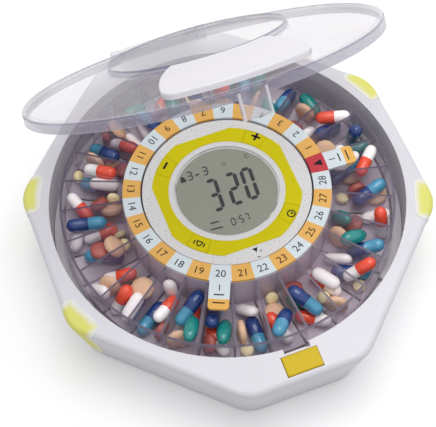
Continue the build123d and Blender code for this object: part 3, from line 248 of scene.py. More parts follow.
# %% Floor, world and lamp
FLOOR_HALF = 3.0
WORLD_LIGHT = 0.44
WORLD_TINT = "#FAFAFF"
FLOOR_COLOUR = "#E1E1E1"
FLOOR_GLOW = 0.32            # near the device
FAR_GLOW = 0.8               # beyond the softbox's reach
GLOW_START = 0.25            # metres from the device to where the glow begins to rise
GLOW_END = 1.2
SOFTBOX_PLACE = (0.20, 0.12, 1.40)
SOFTBOX_SIZE = 1.1
SOFTBOX_POWER = 13.5


def is_seen(tree):
    """1 for rays from the camera, a reflection or a clear skin, and 0 for those that give light."""
    ray = add(tree, "ShaderNodeLightPath").outputs
    seen = maths(tree, "ADD", ray["Is Camera Ray"], ray["Is Glossy Ray"])
    return maths(tree, "ADD", seen, ray["Is Transmission Ray"], use_clamp=True)


def studio_floor():
    """A pale matt floor that glows where it is seen, so that it meets the white world."""
    mesh = bpy.data.meshes.new("studio_floor")
    corners = [(-1, -1), (1, -1), (1, 1), (-1, 1)]
    mesh.from_pydata([(x * FLOOR_HALF, y * FLOOR_HALF, 0.0) for x, y in corners], [], [(0, 1, 2, 3)])
    material = bpy.data.materials.new("matt_studio_paper")
    tree = emptied(material)
    paper = add(tree, "ShaderNodeBsdfDiffuse", {"Color": linear(FLOOR_COLOUR)})
    place = add(tree, "ShaderNodeTexCoord").outputs["Object"]
    level = ranged(tree, reach_from_axis(tree, place), FLOOR_GLOW, FAR_GLOW, GLOW_START, GLOW_END)
    strength = maths(tree, "MULTIPLY", is_seen(tree), level)
    glow = add(tree, "ShaderNodeEmission", {"Color": WHITE, "Strength": strength})
    both = add(tree, "ShaderNodeAddShader", {0: paper.outputs[0], 1: glow.outputs[0]})
    add(tree, "ShaderNodeOutputMaterial", {"Surface": both.outputs[0]})
    mesh.materials.append(material)
    new_object("studio_floor", mesh)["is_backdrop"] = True


def studio_world():
    """An even white world: full white where it is seen, and dimmer where it lights the device."""
    world = bpy.data.worlds.new("studio_world")
    tree = emptied(world)
    lit = add(tree, "ShaderNodeBackground", {"Color": linear(WORLD_TINT), "Strength": WORLD_LIGHT})
    white = add(tree, "ShaderNodeBackground", {"Color": WHITE, "Strength": 1.0})
    both = add(tree, "ShaderNodeMixShader", {0: is_seen(tree), 1: lit.outputs[0], 2: white.outputs[0]})
    add(tree, "ShaderNodeOutputWorld", {"Surface": both.outputs[0]})
    bpy.context.scene.world = world


def softbox(name, place, size, power):
    """A square lamp of this size that faces the device."""
    data = bpy.data.lights.new(name, "AREA")
    data.size = size
    data.energy = power
    lamp = new_object(name, data)
    lamp.location = place
    lamp.rotation_euler = (-Vector(place)).to_track_quat("-Z", "Y").to_euler()


studio_floor()
studio_world()
softbox("overhead_softbox", SOFTBOX_PLACE, SOFTBOX_SIZE, SOFTBOX_POWER)
bpy.context.scene.view_settings.view_transform = "Standard"

# %% [markdown]
# ## Moulded plastics
#
# The housing, deck and cover are ABS, moulded in tools with a spark-eroded surface: a fine, even
# grain about a third of a millimetre across that spreads each highlight. The colour drifts very
# slightly over a few fingers' width, as it does in a real moulding. One function makes them all,
# because they differ only in colour, grain and gloss. Rubber, wrap and film come from it too.
# Each material goes to the solids that wear it as soon as it is made.

# %% Moulded plastic
DRIFT_SIZE = 60 * MM         # distance over which the colour wanders
COMMON_NOISE = (0.3, 0.7)    # nearly all of the noise lies between these


def moulded(name, colour, roughness, grain=0.35 * MM, depth=0.012 * MM, drift=0.03, shine=0.5, cover=1.0):
    """Moulded plastic with a grain of this size and depth. It is opaque unless its cover is low."""
    material, tree, shader, place = new_material(name)
    wander = noise(tree, place, DRIFT_SIZE, 2.0)
    amount = ranged(tree, wander, 1 - drift, 1 + drift, *COMMON_NOISE)
    tint = add(tree, "ShaderNodeHueSaturation", {"Color": linear(colour), "Value": amount})
    fill(shader, {"Base Color": tint.outputs[0], "Roughness": roughness, "Specular IOR Level": shine,
                  "Alpha": cover})
    emboss(shader, noise(tree, place, grain), depth)
    return material


dress("upper_housing bottom_cover battery_door", moulded("spark_eroded_white_abs", "#E3E1E6", 0.42))
dress("deck dial_column", moulded("satin_pale_grey_abs", "#DEDADF", 0.5))
dress("lid_plate", moulded("satin_white_abs_plate", "#E6E3E8", 0.38, grain=0.5 * MM, depth=0.006 * MM))
dress("latch_button",
      moulded("golden_yellow_abs", "#DDBE22", 0.5, grain=0.6 * MM, depth=0.01 * MM, shine=0.2))
dress("turntable_gear drive_pinion latch_lever",
      moulded("natural_acetal", "#E6E4DC", 0.35, depth=0.004 * MM))
dress("index_switch tact_switches", moulded("moulded_black_plastic", "#1C1C1E", 0.45))
dress("rubber_feet", moulded("moulded_black_rubber", "#26262A", 0.75, grain=0.5 * MM, depth=0.03 * MM))
dress("main_board", moulded("green_solder_mask", "#1E6A3C", 0.3, depth=0.003 * MM))
dress("batteries", moulded("wrapped_cell_label", "#3A3F4A", 0.25, depth=0.002 * MM))
dress("contact_strips", moulded("layered_contact_rubber", "#6E6A66", 0.6))

# %% [markdown]
# ## Soft grips
#
# The four corner pads are a soft elastomer in fluorescent yellow-green, moulded over the white
# plastic. The skin is matt, and the pad thins to nothing at its rim, so the white shows through
# there and the pad seems to fade out. The material measures how far a point is from the corner,
# both along the edge and inwards, and fades the colour over the last few millimetres. The four
# pads mirror one another, so it works on the size of X and Y without their signs.

# %% Grip elastomer
GRIP_YELLOW = "#E8E678"
GRIP_RIM = "#F1F0EC"
GRIP_REACH = 12.0 * MM
GRIP_FADE = 4.5 * MM
GRIP_CORNER = (103.0 * MM, 42.66 * MM)
GRIP_TURN = radians(22.5)    # direction that the corner points in
GRIP_PATCH = 9 * MM          # size of the patches that make the rim uneven
GRIP_RAGGED = 1.6 * MM       # how far they move it
GRIP_GRAIN = 0.5 * MM
GRIP_RELIEF = 0.02 * MM


def grip_elastomer():
    """Fluorescent elastomer that fades to white towards the pad's rim."""
    material, tree, shader, place = new_material("fluorescent_soft_elastomer")
    parts = add(tree, "ShaderNodeSeparateXYZ", {0: place}).outputs
    offsets = [maths(tree, "SUBTRACT", maths(tree, "ABSOLUTE", parts[axis]), corner)
               for axis, corner in zip("XY", GRIP_CORNER)]
    distances = []
    for weights in ((-sin(GRIP_TURN), cos(GRIP_TURN)), (-cos(GRIP_TURN), -sin(GRIP_TURN))):
        scaled = [maths(tree, "MULTIPLY", offset, weight) for offset, weight in zip(offsets, weights)]
        distances.append(maths(tree, "ADD", *scaled))
    along, inward = distances
    away = maths(tree, "MAXIMUM", maths(tree, "ABSOLUTE", along), inward)
    ragged = ranged(tree, noise(tree, place, GRIP_PATCH, 2.0), -GRIP_RAGGED, GRIP_RAGGED)
    away = maths(tree, "ADD", away, ragged)
    rim = ranged(tree, away, 0.0, 1.0, GRIP_REACH - GRIP_FADE, GRIP_REACH,
                 interpolation_type="SMOOTHSTEP")
    fill(shader, {"Base Color": mixed(tree, rim, linear(GRIP_YELLOW), linear(GRIP_RIM)), "Roughness": 0.6})
    emboss(shader, noise(tree, place, GRIP_GRAIN), GRIP_RELIEF)
    return material


dress("grip_front_left grip_front_right grip_rear_left grip_rear_right", grip_elastomer())

# %% [markdown]
# ## Clear and tinted plastics
#
# The lid is clear polycarbonate and the tray is the same plastic with a mauve dye. A clear moulding
# lets most light straight through, and its skin scatters a little, so a sheet looks like a thin veil.
# Its edges look much darker, because there the eye looks along the sheet. A full glass shader would
# also stop the lamps' direct light, and the pills below would be in the dark. So the skin is partly
# see-through, by its alpha, and where the moulding has an edge it is closed and painted darker: painted
# shade for the look along the sheet. The tray's edges are the surfaces that face up. The lid's are
# rings, so its material works out how far a point is from the lid's middle, in the lid's own frame,
# and reads its colour from a ramp: dark lines and a darker skirt band of painted shade, and lighter
# rim bands of painted highlight. The ribs on the lid's tongue are painted near-white, a painted highlight.

# %% Dyed tray plastic
POLYCARBONATE_IOR = 1.58
WAVE_SIZE = 14 * MM
WAVE_DEPTH = 0.05 * MM
# The upper edge faces that these pick out get painted shade: a darker, more closed skin.
SHADED_EDGE_NORMALS = (0.5, 0.9)    # a face turns from side to edge as its normal rises through these


def clear_skin(name, roughness, transmission):
    """A smooth polycarbonate skin with the faint waviness of a moulding."""
    material, tree, shader, place = new_material(name)
    fill(shader, {"Roughness": roughness, "IOR": POLYCARBONATE_IOR, "Transmission Weight": transmission})
    emboss(shader, noise(tree, place, WAVE_SIZE), WAVE_DEPTH)
    return material, tree, shader, place


def dyed_tray(name, face, edge, face_cover, shaded_edge_cover):
    """Mauve plastic that is a thin veil on its faces, and on its upper edge faces nearly closed and darker, as
    painted shade.
    """
    material, tree, shader, _ = clear_skin(name, roughness=0.38, transmission=0.1)
    normal = add(tree, "ShaderNodeTexCoord").outputs["Normal"]
    upward = add(tree, "ShaderNodeSeparateXYZ", {0: normal}).outputs["Z"]
    edges = ranged(tree, upward, 0.0, 1.0, *SHADED_EDGE_NORMALS)
    fill(shader, {"Base Color": mixed(tree, edges, linear(face), linear(edge)),
                  "Alpha": ranged(tree, edges, face_cover, shaded_edge_cover)})
    return material


# The dark #4A3B56 on the upper edge faces is painted shade for the look along a divider's thickness; #B9ABC0 is
# the dyed plastic.
dress("tray_outer_wall tray_dividers",
      dyed_tray("mauve_polycarbonate_with_painted_edge_shade", "#B9ABC0", "#4A3B56", 0.21, 0.9))

# %% Clear lid
LID_OPEN = radians(43.5)
HINGE_LINE = Vector((0.0, 108.0, 46.0)) * MM
LID_RAMP_END = 96.0 * MM
# LID_FACE is the clear plastic's own veil. The other skins are painted: the dark lines and the darker skirt
# band are painted shade, and the lighter rim bands are painted highlight.
LID_FACE = ("#C8C5CE", 0.25)
LID_SHADE_LINE = ("#6A608A", 0.72)
LID_RIM_HIGHLIGHT = ("#D9D6E0", 0.42)
LID_SKIRT_SHADE = ("#B0A9C2", 0.44)
LID_RINGS = [                # millimetres from the lid's middle, and the skin there
    (0.0, LID_FACE), (44.9, LID_FACE), (45.4, LID_SHADE_LINE), (46.0, LID_SHADE_LINE), (46.5, LID_RIM_HIGHLIGHT),
    (47.6, LID_FACE), (89.5, LID_FACE), (89.9, LID_SHADE_LINE), (90.3, LID_RIM_HIGHLIGHT), (91.5, LID_RIM_HIGHLIGHT),
    (91.9, LID_SHADE_LINE), (92.3, LID_SHADE_LINE), (92.45, LID_SKIRT_SHADE), (93.0, LID_FACE),
]
RIB_MIDDLE = 6.4 * MM        # from the middle of the latch tongue to each of its ribs
RIB_REACH = 0.7 * MM
RIB_BEHIND = -90.6 * MM
RIB_BELOW = 48.8 * MM
# The tongue's ribs get a painted highlight: near-white and nearly closed.
RIB_HIGHLIGHT = ("#F7F6FA", 0.8)


def clear_lid_skin():
    """Clear polycarbonate with painted shade rings where the lid has an edge or a step, lighter painted
    highlight bands on its rims, and painted highlights on the tongue's ribs.
    """
    material, tree, shader, place = clear_skin("clear_polycarbonate_with_painted_rings", roughness=0.03, transmission=0.3)
    back = Matrix.Rotation(LID_OPEN, 4, "X")
    shut = add(tree, "ShaderNodeMapping", {"Vector": place, "Rotation": (LID_OPEN, 0.0, 0.0),
                                           "Location": HINGE_LINE - back @ HINGE_LINE}).outputs[0]
    share = maths(tree, "DIVIDE", reach_from_axis(tree, shut), LID_RAMP_END)
    rings = add(tree, "ShaderNodeValToRGB", {0: share})
    stops = rings.color_ramp.elements
    while len(stops) < len(LID_RINGS):
        stops.new(0.5)
    for stop, (radius, (skin, cover)) in zip(stops, LID_RINGS):
        stop.position = radius * MM / LID_RAMP_END
        stop.color = linear(skin)[:3] + [cover]
    at_x, at_y, at_z = add(tree, "ShaderNodeSeparateXYZ", {0: shut}).outputs
    sideways = maths(tree, "ABSOLUTE", at_x)
    off_rib = maths(tree, "ABSOLUTE", maths(tree, "SUBTRACT", sideways, RIB_MIDDLE))
    rib = maths(tree, "LESS_THAN", off_rib, RIB_REACH)
    for where, limit in ((at_y, RIB_BEHIND), (at_z, RIB_BELOW)):
        rib = maths(tree, "MULTIPLY", rib, maths(tree, "LESS_THAN", where, limit))
    # Where a rib is, the ring skin gives way to the painted rib highlight.
    rib_highlight, rib_cover = RIB_HIGHLIGHT
    cover = maths(tree, "MULTIPLY", rib, rib_cover)
    fill(shader, {"Base Color": mixed(tree, rib, rings.outputs["Color"], linear(rib_highlight)),
                  "Alpha": maths(tree, "MAXIMUM", rings.outputs["Alpha"], cover)})
    return material


dress("lid", clear_lid_skin())
dress("tray_floor tray_hub", moulded("hazy_mauve_polycarbonate", "#D3C6D2", 0.3, depth=0.004 * MM))
dress("display_window", moulded("clear_hard_coated_cover", "#B9BCB0", 0.12, depth=0.0, cover=0.04))

# %% [markdown]
# ## Metals, glass and film
#
# Screws, pins, springs and contacts are steel with a zinc or nickel skin. They differ in colour
# and in how the skin scatters light, so one function makes them, with the fine scratches that
# turning and handling leave. The display is a glass cell with a grey-green polariser. The yellow
# band is a printed film, which has almost no grain. The inks are matt and drink in the light.

# %% Metals, glass and film
GLOSS_SPREAD = 0.3           # share by which scratches raise and lower the roughness
SCRATCH_DEPTH = 0.004 * MM


def metal(name, colour, roughness, scratch=0.15 * MM):
    """Plated or ground steel, with fine scratches that vary its gloss."""
    material, tree, shader, place = new_material(name)
    marks = noise(tree, place, scratch, 3.0)
    gloss = ranged(tree, marks, roughness * (1 - GLOSS_SPREAD), roughness * (1 + GLOSS_SPREAD))
    fill(shader, {"Base Color": linear(colour), "Metallic": 1.0, "Roughness": gloss})
    emboss(shader, marks, SCRATCH_DEPTH)
    return material


dress("case_screws deck_screws motor_screws board_screws", metal("zinc_plated_steel", "#C9CBD0", 0.32))
dress("hinge_pin latch_pin", metal("ground_steel", "#D2D2D4", 0.2, scratch=0.08 * MM))
dress("latch_spring", metal("drawn_spring_wire", "#B4B4B8", 0.28))
dress("drive_motor", metal("drawn_steel_can", "#BDBEC0", 0.35))
dress("battery_contacts", metal("nickel_plated_strip", "#D6D2C8", 0.22))
dress("speaker", metal("painted_speaker_can", "#3A3A3C", 0.5))
dress("display_module", moulded("display_polariser", "#9B9E8C", 0.35, depth=0.0, drift=0.015))
dress("key_overlay", moulded("printed_yellow_film", "#E6D800", 0.4, depth=0.003 * MM, shine=0.12))
dress("key_plus key_minus key_clock key_alarm",
      moulded("moulded_yellow_silicone", "#E6D800", 0.45, depth=0.005 * MM, shine=0.12))
dark_ink = moulded("screen_printed_dark_ink", "#1E1C22", 0.6, depth=0.0, shine=0.15)
segment_ink = moulded("liquid_crystal_segment", "#282A32", 0.6, depth=0.0, shine=0.15)

# %% [markdown]
# ## The number ring and the dial
#
# Both carry print. The ring has a sector for each compartment: orange for odd numbers, pale for
# even ones, and one red sector for the end of the round. Ink has no thickness that the eye can see,
# so the colours are worked out in the material from the angle and the radius of each point. The
# dial is satin white here, and its printed dots come in a later cell.

# %% Printed ring and dial
COMPARTMENTS = 29
PITCH = 2 * pi / COMPARTMENTS
FRONT_NUMBER = 22
RING_EDGE = 55.3 * MM
TAB_LABEL_START = 65.6 * MM
RING_GRAIN = 0.4 * MM
RING_RELIEF = 0.004 * MM
PALE_SECTOR = "#E6F1F4"
ORANGE_SECTOR = "#F7BC58"
RED_SECTOR = "#CF1C30"


def number_angle(number):
    """The direction of one numbered compartment's middle, in radians."""
    return -pi / 2 + (number - FRONT_NUMBER) * PITCH


def printed_ring():
    """Pale plastic with orange and red sectors, and an orange end on each tab."""
    material, tree, shader, place = new_material("pad_printed_number_ring")
    parts = add(tree, "ShaderNodeSeparateXYZ", {0: place}).outputs
    angle = maths(tree, "ARCTAN2", parts["Y"], parts["X"])
    turns = maths(tree, "DIVIDE", maths(tree, "ADD", angle, pi / 2), PITCH)
    number = maths(tree, "ROUND", maths(tree, "ADD", turns, FRONT_NUMBER + COMPARTMENTS))
    number = maths(tree, "MODULO", number, COMPARTMENTS)
    odd = maths(tree, "GREATER_THAN", maths(tree, "MODULO", number, 2.0), 0.5)
    last = maths(tree, "LESS_THAN", number, 0.5)
    radius = reach_from_axis(tree, place)
    on_tab = maths(tree, "GREATER_THAN", radius, RING_EDGE)
    label = maths(tree, "GREATER_THAN", radius, TAB_LABEL_START)
    colour = linear(PALE_SECTOR)
    for where, ink in ((odd, ORANGE_SECTOR), (last, RED_SECTOR), (on_tab, PALE_SECTOR),
                       (label, ORANGE_SECTOR)):
        colour = mixed(tree, where, colour, linear(ink))
    fill(shader, {"Base Color": colour, "Roughness": 0.4})
    emboss(shader, noise(tree, place, RING_GRAIN, 2.0), RING_RELIEF)
    return material


dress("number_ring", printed_ring())
dress("dial_cover", moulded("satin_white_dial", "#ECEBEA", 0.4, depth=0.004 * MM, drift=0.015))

# %% Check that every solid has its finish
print("painted", len(painted), "nodes; left over:", sorted(set(nodes) - painted))

# %% [markdown]
# ## Printed marks
#
# Numbers, symbols and the display's segments are flat shapes with crisp edges. Each could be drawn
# in a texture, but that would blur when seen close, so they are thin plates of ink. Every plate is
# a closed prism, a few hundredths of a millimetre thick. The functions below add prisms, strokes,
# arcs and characters from Blender's own plain font to one mesh.

# %% Helpers for printed marks
INK_THICKNESS = 0.04 * MM
DIGIT_SHARE = 0.70           # a digit of the plain font is this share of its size high


def new_piece(name, mesh, body, material):
    """A finished mesh as a piece that rides on a body."""
    piece = new_object(name, mesh)
    paint(piece, material)
    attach(piece, body)
    return piece


def at(radius, angle):
    """A flat point at this radius and angle in radians."""
    return Vector((radius * cos(angle), radius * sin(angle)))


def mm(x, y):
    """A flat point given in millimetres."""
    return Vector((x, y)) * MM


def add_prism(bm, outline, low_z, thickness=INK_THICKNESS):
    """A closed prism over an outline of (x, y) points that runs anticlockwise."""
    lower = [bm.verts.new((x, y, low_z)) for x, y in outline]
    upper = [bm.verts.new((x, y, low_z + thickness)) for x, y in outline]
    bm.faces.new(upper)
    bm.faces.new(lower[::-1])
    for i in range(len(outline)):
        j = (i + 1) % len(outline)
        bm.faces.new((lower[i], lower[j], upper[j], upper[i]))


def add_bar(bm, start, end, width, low_z):
    """A straight stroke with square ends, between two points."""
    along = (end - start).normalized()
    side = Vector((-along.y, along.x)) * width / 2
    add_prism(bm, [start - side, end - side, end + side, start + side], low_z)


def add_sweep(bm, inner, outer, low, top, angles, closed=True, centre=(0.0, 0.0)):
    """A square section between two radii and two heights, swept round a centre."""
    section = [(inner, low), (outer, low), (outer, top), (inner, top)]
    rows = [[bm.verts.new((centre[0] + r * cos(turn), centre[1] + r * sin(turn), z)) for r, z in section]
            for turn in angles]
    following = rows[1:] + rows[:1] if closed else rows[1:]
    for row, after in zip(rows, following):
        for k in range(4):
            bm.faces.new((row[k], row[(k + 1) % 4], after[(k + 1) % 4], after[k]))
    if not closed:
        bm.faces.new(rows[0][::-1])
        bm.faces.new(rows[-1])


def add_arc(bm, centre, radius, width, first, last, low_z, steps=24):
    """A curved stroke round a centre, from one angle to another in degrees."""
    closed = abs(last - first) >= 360.0
    count = steps if closed else steps + 1
    angles = [radians(first + (last - first) * i / steps) for i in range(count)]
    inner, outer = radius - width / 2, radius + width / 2
    add_sweep(bm, inner, outer, low_z, low_z + INK_THICKNESS, angles, closed, centre)


def finished_mesh(bm, name):
    """The collected faces as a mesh, all turned outwards."""
    bmesh.ops.recalc_face_normals(bm, faces=bm.faces)
    mesh = bpy.data.meshes.new(name)
    bm.to_mesh(mesh)
    bm.free()
    return mesh


def ink_piece(bm, name, body, ink):
    """The collected marks as a piece of ink."""
    piece = new_piece(name, finished_mesh(bm, name), body, ink)
    print(name, len(piece.data.polygons), "faces")


def add_text(bm, text, height, place, angle, low_z):
    """Characters of this height, centred on a place and turned by an angle in radians."""
    curve = bpy.data.curves.new("characters", "FONT")
    curve.body = text
    curve.align_x = "CENTER"
    curve.align_y = "CENTER"
    curve.size = height / DIGIT_SHARE
    curve.extrude = INK_THICKNESS / 2
    curve.resolution_u = 3
    source = new_object("characters", curve)
    mesh = plain_mesh(source)
    xs = [vertex.co.x for vertex in mesh.vertices]
    ys = [vertex.co.y for vertex in mesh.vertices]
    centre = Vector(((min(xs) + max(xs)) / 2, (min(ys) + max(ys)) / 2, 0.0))
    target = Vector((place[0], place[1], low_z + INK_THICKNESS / 2))
    turned = Matrix.Rotation(angle, 4, "Z") @ Matrix.Translation(-centre)
    mesh.transform(Matrix.Translation(target) @ turned)
    bm.from_mesh(mesh)
    bpy.data.meshes.remove(mesh)
    discard(source)


# %% Numbers on the ring
NUMBER_RADIUS = 50.8 * MM
NUMBER_HEIGHT = 4.0 * MM
TAB_NUMBERS = (20, 29)
TAB_FIGURE_RADIUS = 59.0 * MM
TAB_FIGURE_HEIGHT = 3.6 * MM
TAB_BARS = ((63.0 * MM, 2.6 * MM), (67.6 * MM, 3.2 * MM))     # radius and half-length of each
TAB_BAR_WIDTH = 0.7 * MM
ARROW_TIP = 48.2 * MM
ARROW_BASE = 53.2 * MM
ARROW_HALF = 2.0 * MM
ring_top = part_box("number_ring")[1].z
bm = bmesh.new()
for number in range(1, COMPARTMENTS):
    angle = number_angle(number)
    add_text(bm, str(number), NUMBER_HEIGHT, at(NUMBER_RADIUS, angle), angle + pi / 2, ring_top)
for number in TAB_NUMBERS:
    angle = number_angle(number)
    add_text(bm, "1", TAB_FIGURE_HEIGHT, at(TAB_FIGURE_RADIUS, angle), angle + pi / 2, ring_top)
    for reach, half in TAB_BARS:
        middle, side = at(reach, angle), at(half, angle + pi / 2)
        add_bar(bm, middle - side, middle + side, TAB_BAR_WIDTH, ring_top)

# A dark arrow on the red sector shows where the round ends.
angle = number_angle(COMPARTMENTS)
base, side = at(ARROW_BASE, angle), at(ARROW_HALF, angle + pi / 2)
add_prism(bm, [at(ARROW_TIP, angle), base - side, base + side], ring_top)
ink_piece(bm, "ring_numbers", "carousel", dark_ink)

# %% Symbols on the keys and the dial
STROKE = 1.25 * MM
FINE_STROKE = 0.7 * MM
PLUS = (mm(26.7, 25.8), 2.5 * MM, (134, 44))      # centre, half-length, and turns in degrees
MINUS = (mm(-25.1, 26.4), 2.3 * MM, (43.5,))
CLOCK_CENTRE = mm(26.0, -26.0)
CLOCK_RADIUS = 2.0 * MM
CLOCK_HANDS = (mm(0.7, 0.9), mm(0.9, -0.4))
BELL_CENTRE = mm(-25.2, -25.2)
BELL_UP = Vector((-1, -1)).normalized()
BELL_OUTLINE = [(-1.6, -1.3), (-0.9, 0.9), (0.0, 1.6), (0.9, 0.9), (1.6, -1.3)]
BELL_ARC_RADIUS = 2.8 * MM
BELL_ARC_HALF = 25           # degrees
POINTER = [mm(-0.9, -38.1), mm(0.6, -40.8), mm(2.1, -38.1)]
DIAL_BARS = [                # two ends and a width
    (mm(2.6, -40.6), mm(3.4, -40.6), 0.8 * MM),
    (mm(0.0, -43.7), mm(1.6, -43.7), 0.5 * MM),
]
key_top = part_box("key_overlay")[1].z
dial_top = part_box("dial_cover")[1].z


def strokes(bm, centre, reach, turns):
    """One or more straight strokes through a centre."""
    for turn in turns:
        way = at(reach, radians(turn))
        add_bar(bm, centre - way, centre + way, STROKE, key_top)


def clock(bm):
    """A ring with two hands."""
    add_arc(bm, CLOCK_CENTRE, CLOCK_RADIUS, FINE_STROKE, 0, 360, key_top)
    for hand in CLOCK_HANDS:
        add_bar(bm, CLOCK_CENTRE, CLOCK_CENTRE + hand, FINE_STROKE, key_top)


def bell(bm):
    """A small bell in outline, with two arcs beside it."""
    across = Vector((-BELL_UP.y, BELL_UP.x))
    points = [BELL_CENTRE + (across * u + BELL_UP * v) * MM for u, v in BELL_OUTLINE]
    for start, end in zip(points, points[1:] + points[:1]):
        add_bar(bm, start, end, FINE_STROKE, key_top)
    for way in (-90, 90):
        middle = degrees(atan2(BELL_UP.y, BELL_UP.x)) + way
        add_arc(bm, BELL_CENTRE, BELL_ARC_RADIUS, FINE_STROKE, middle - BELL_ARC_HALF,
                middle + BELL_ARC_HALF, key_top, steps=6)


# Each symbol is a piece that moves with its key.
for body, draw, *given in (("key_plus", strokes, *PLUS), ("key_minus", strokes, *MINUS),
                           ("key_clock", clock), ("key_alarm", bell)):
    bm = bmesh.new()
    draw(bm, *given)
    ink_piece(bm, body + "_symbol", body, dark_ink)
bm = bmesh.new()
add_prism(bm, POINTER, dial_top)
for start, end, width in DIAL_BARS:
    add_bar(bm, start, end, width, dial_top)
ink_piece(bm, "dial_pointer", "housing", dark_ink)

# %% [markdown]
# ## The display
#
# A liquid crystal display shows dark segments on a grey-green ground. Each large digit has seven
# bars with pointed ends and small gaps between them, and leans a little. A table says which bars
# are on for each figure, and one function draws any figure from it.

# %% Display segments
SEGMENTS_ON = {"0": "abcdef", "2": "abged", "3": "abgcd", "5": "afgcd", "7": "abc"}
LEAN = 0.096                 # sideways shift for each unit of height
GAP_SHARE = 0.10             # gap at each end of a bar, as a share of its width
DIGIT_ROWS = [               # figures with their left edges, then low edge, width, height and stroke
    ([("3", -11.3), ("2", -0.3), ("0", 8.5)], -10.0, 6.9, 20.4, 2.05),
    ([("3", -16.9), ("3", -8.2)], 13.4, 3.1, 5.6, 0.75),
    ([("0", -5.2), ("5", -0.6), ("7", 2.6)], -21.0, 2.5, 4.6, 0.62),
]
DISPLAY_BARS = [             # two ends and a width, for the colon's dots and the plain bars
    ((-1.9, -19.7), (-1.4, -19.7), 0.55),
    ((-1.9, -17.9), (-1.4, -17.9), 0.55),
    ((-12.2, 15.4), (-10.0, 15.6), 0.9),
    ((-15.3, -15.4), (-10.6, -15.8), 0.9),
    ((-16.4, -19.0), (-9.9, -19.6), 0.9),
]
DISPLAY_BELL = ((-21.0, 13.6), (-17.6, 13.6), (-18.3, 16.4), (-19.3, 17.6), (-20.3, 16.4))
DISPLAY_ARCS = [             # centre, radius, width, and first and last angle in degrees
    ((17.9, 17.0), 1.1, 0.35, 40, 320),
    ((4.6, 16.8), 1.0, 0.3, 0, 360),
]
panel_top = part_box("display_module")[1].z


def add_segment(bm, start, end, width, place):
    """One bar with pointed ends, from start to end in a digit whose corner is at the place."""
    start, end = Vector(start), Vector(end)
    along = (end - start).normalized()
    side = Vector((-along.y, along.x)) * width / 2
    gap = along * width * GAP_SHARE
    first, last = start + gap, end - gap
    nose = along * width / 2
    outline = [first, first + nose - side, last - nose - side, last, last - nose + side,
               first + nose + side]
    add_prism(bm, [mm(place[0] + p.x + LEAN * p.y, place[1] + p.y) for p in outline], panel_top)


def add_digit(bm, figure, place, width, height, stroke):
    """A seven-bar figure whose lower left corner is at the place, all in millimetres."""
    half = stroke / 2
    left, right, low, high = half, width - half, half, height - half
    middle = height / 2
    bars = {
        "a": ((left, high), (right, high)), "g": ((left, middle), (right, middle)),
        "d": ((left, low), (right, low)), "f": ((left, middle), (left, high)),
        "b": ((right, middle), (right, high)), "e": ((left, low), (left, middle)),
        "c": ((right, low), (right, middle)),
    }
    for name in SEGMENTS_ON[figure]:
        add_segment(bm, *bars[name], stroke, place)


bm = bmesh.new()
for figures, low, *sizes in DIGIT_ROWS:
    for figure, left in figures:
        add_digit(bm, figure, (left, low), *sizes)
for start, end, width in DISPLAY_BARS:
    add_bar(bm, mm(*start), mm(*end), width * MM, panel_top)
add_prism(bm, [mm(*corner) for corner in DISPLAY_BELL], panel_top)
for centre, radius, width, first, last in DISPLAY_ARCS:
    add_arc(bm, mm(*centre), radius * MM, width * MM, first, last, panel_top, steps=14)
ink_piece(bm, "display_segments", "housing", segment_ink)

# %% [markdown]
# ## Pills
#
# Each compartment holds a day's mixed pills: two-colour capsules, soft gel capsules, round tablets
# and long ones. On the real thing they were poured in and lie in a jumble. Placing each by hand
# would look stacked, so they are dropped and settled with Blender's rigid bodies. The settling is
# run at a hundred times the real size, because the solver is tuned for things about a metre long,
# and on plain walls that match the tray. Only the places and turns are kept. Geometry Nodes then
# puts the same shape of pill, with its finish, at each place.

# %% Kinds of pill
PILLS = {                    # length, width and height in millimetres, and the colour of each half
    "sky_capsule": (21.7, 7.6, 7.6, ("#14346E", "#4389A8")),
    "red_capsule": (19.4, 6.9, 6.9, ("#DB4A30", "#ECE8E6")),
    "green_softgel": (17.0, 8.2, 8.2, ("#108A84", "#108A84")),
    "beige_tablet": (12.4, 12.4, 4.6, ("#CDA98C", "#CDA98C")),
    "cream_tablet": (7.0, 7.0, 3.8, ("#E6D6A6", "#E6D6A6")),
    "white_caplet": (16.5, 7.4, 5.6, ("#E0DBDA", "#E0DBDA")),
    "rust_tablet": (10.4, 10.4, 4.6, ("#9A5048", "#9A5048")),
}
TABLET_EDGE = 0.28           # from a tablet's middle up to its corner, as a share of its height
DOME_POINTS = ((1.0, 0.0), (0.86, 0.6))  # shares of the half-height and of the radius
RIM_POINTS = ((1.0, 0.97), (0.6, 1.0))   # shares of the corner's height and of the radius
SOFTGEL_POWER = 0.85         # below 1 a soft gel has fuller ends than an ellipse
INNER_SHELL = 0.965          # radius of a capsule's inner shell, as a share of the outer one's
SEAM_SHARE = 0.12            # where the outer shell ends, as a share of the straight half-length
SEAM_STEP = 0.1 * MM
ROUND_TURNS = (0.0, 0.5, 1.0, pi / 2)    # radians, the points round each end of a capsule


def mirrored(first):
    """A profile's first half, followed by its mirror image."""
    return first + [(-x, radius) for x, radius in reversed(first)]


def lathe_profile(kind, steps=7):
    """Places and radii along a pill's axis, from one end to the other."""
    length, width, height, _ = PILLS[kind]
    half, radius = length / 2 * MM, width / 2 * MM
    if kind.endswith("tablet"):
        edge, dome = height * TABLET_EDGE * MM, height / 2 * MM
        rows = [(dome, up, out) for up, out in DOME_POINTS] + [(edge, up, out) for up, out in RIM_POINTS]
        return mirrored([(-level * up, radius * out) for level, up, out in rows])
    if kind == "green_softgel":
        turns = [pi * i / steps for i in range(steps + 1)]
        return [(-half * cos(turn), radius * sin(turn) ** SOFTGEL_POWER) for turn in turns]
    straight = half - radius
    first = [(-straight - radius * cos(t), radius * sin(t)) for t in ROUND_TURNS]
    if kind == "white_caplet":
        return mirrored(first)
    seam = straight * SEAM_SHARE
    rest = [(-x, r * INNER_SHELL) for x, r in reversed(first)]
    return first + [(seam, radius), (seam + SEAM_STEP, radius * INNER_SHELL)] + rest


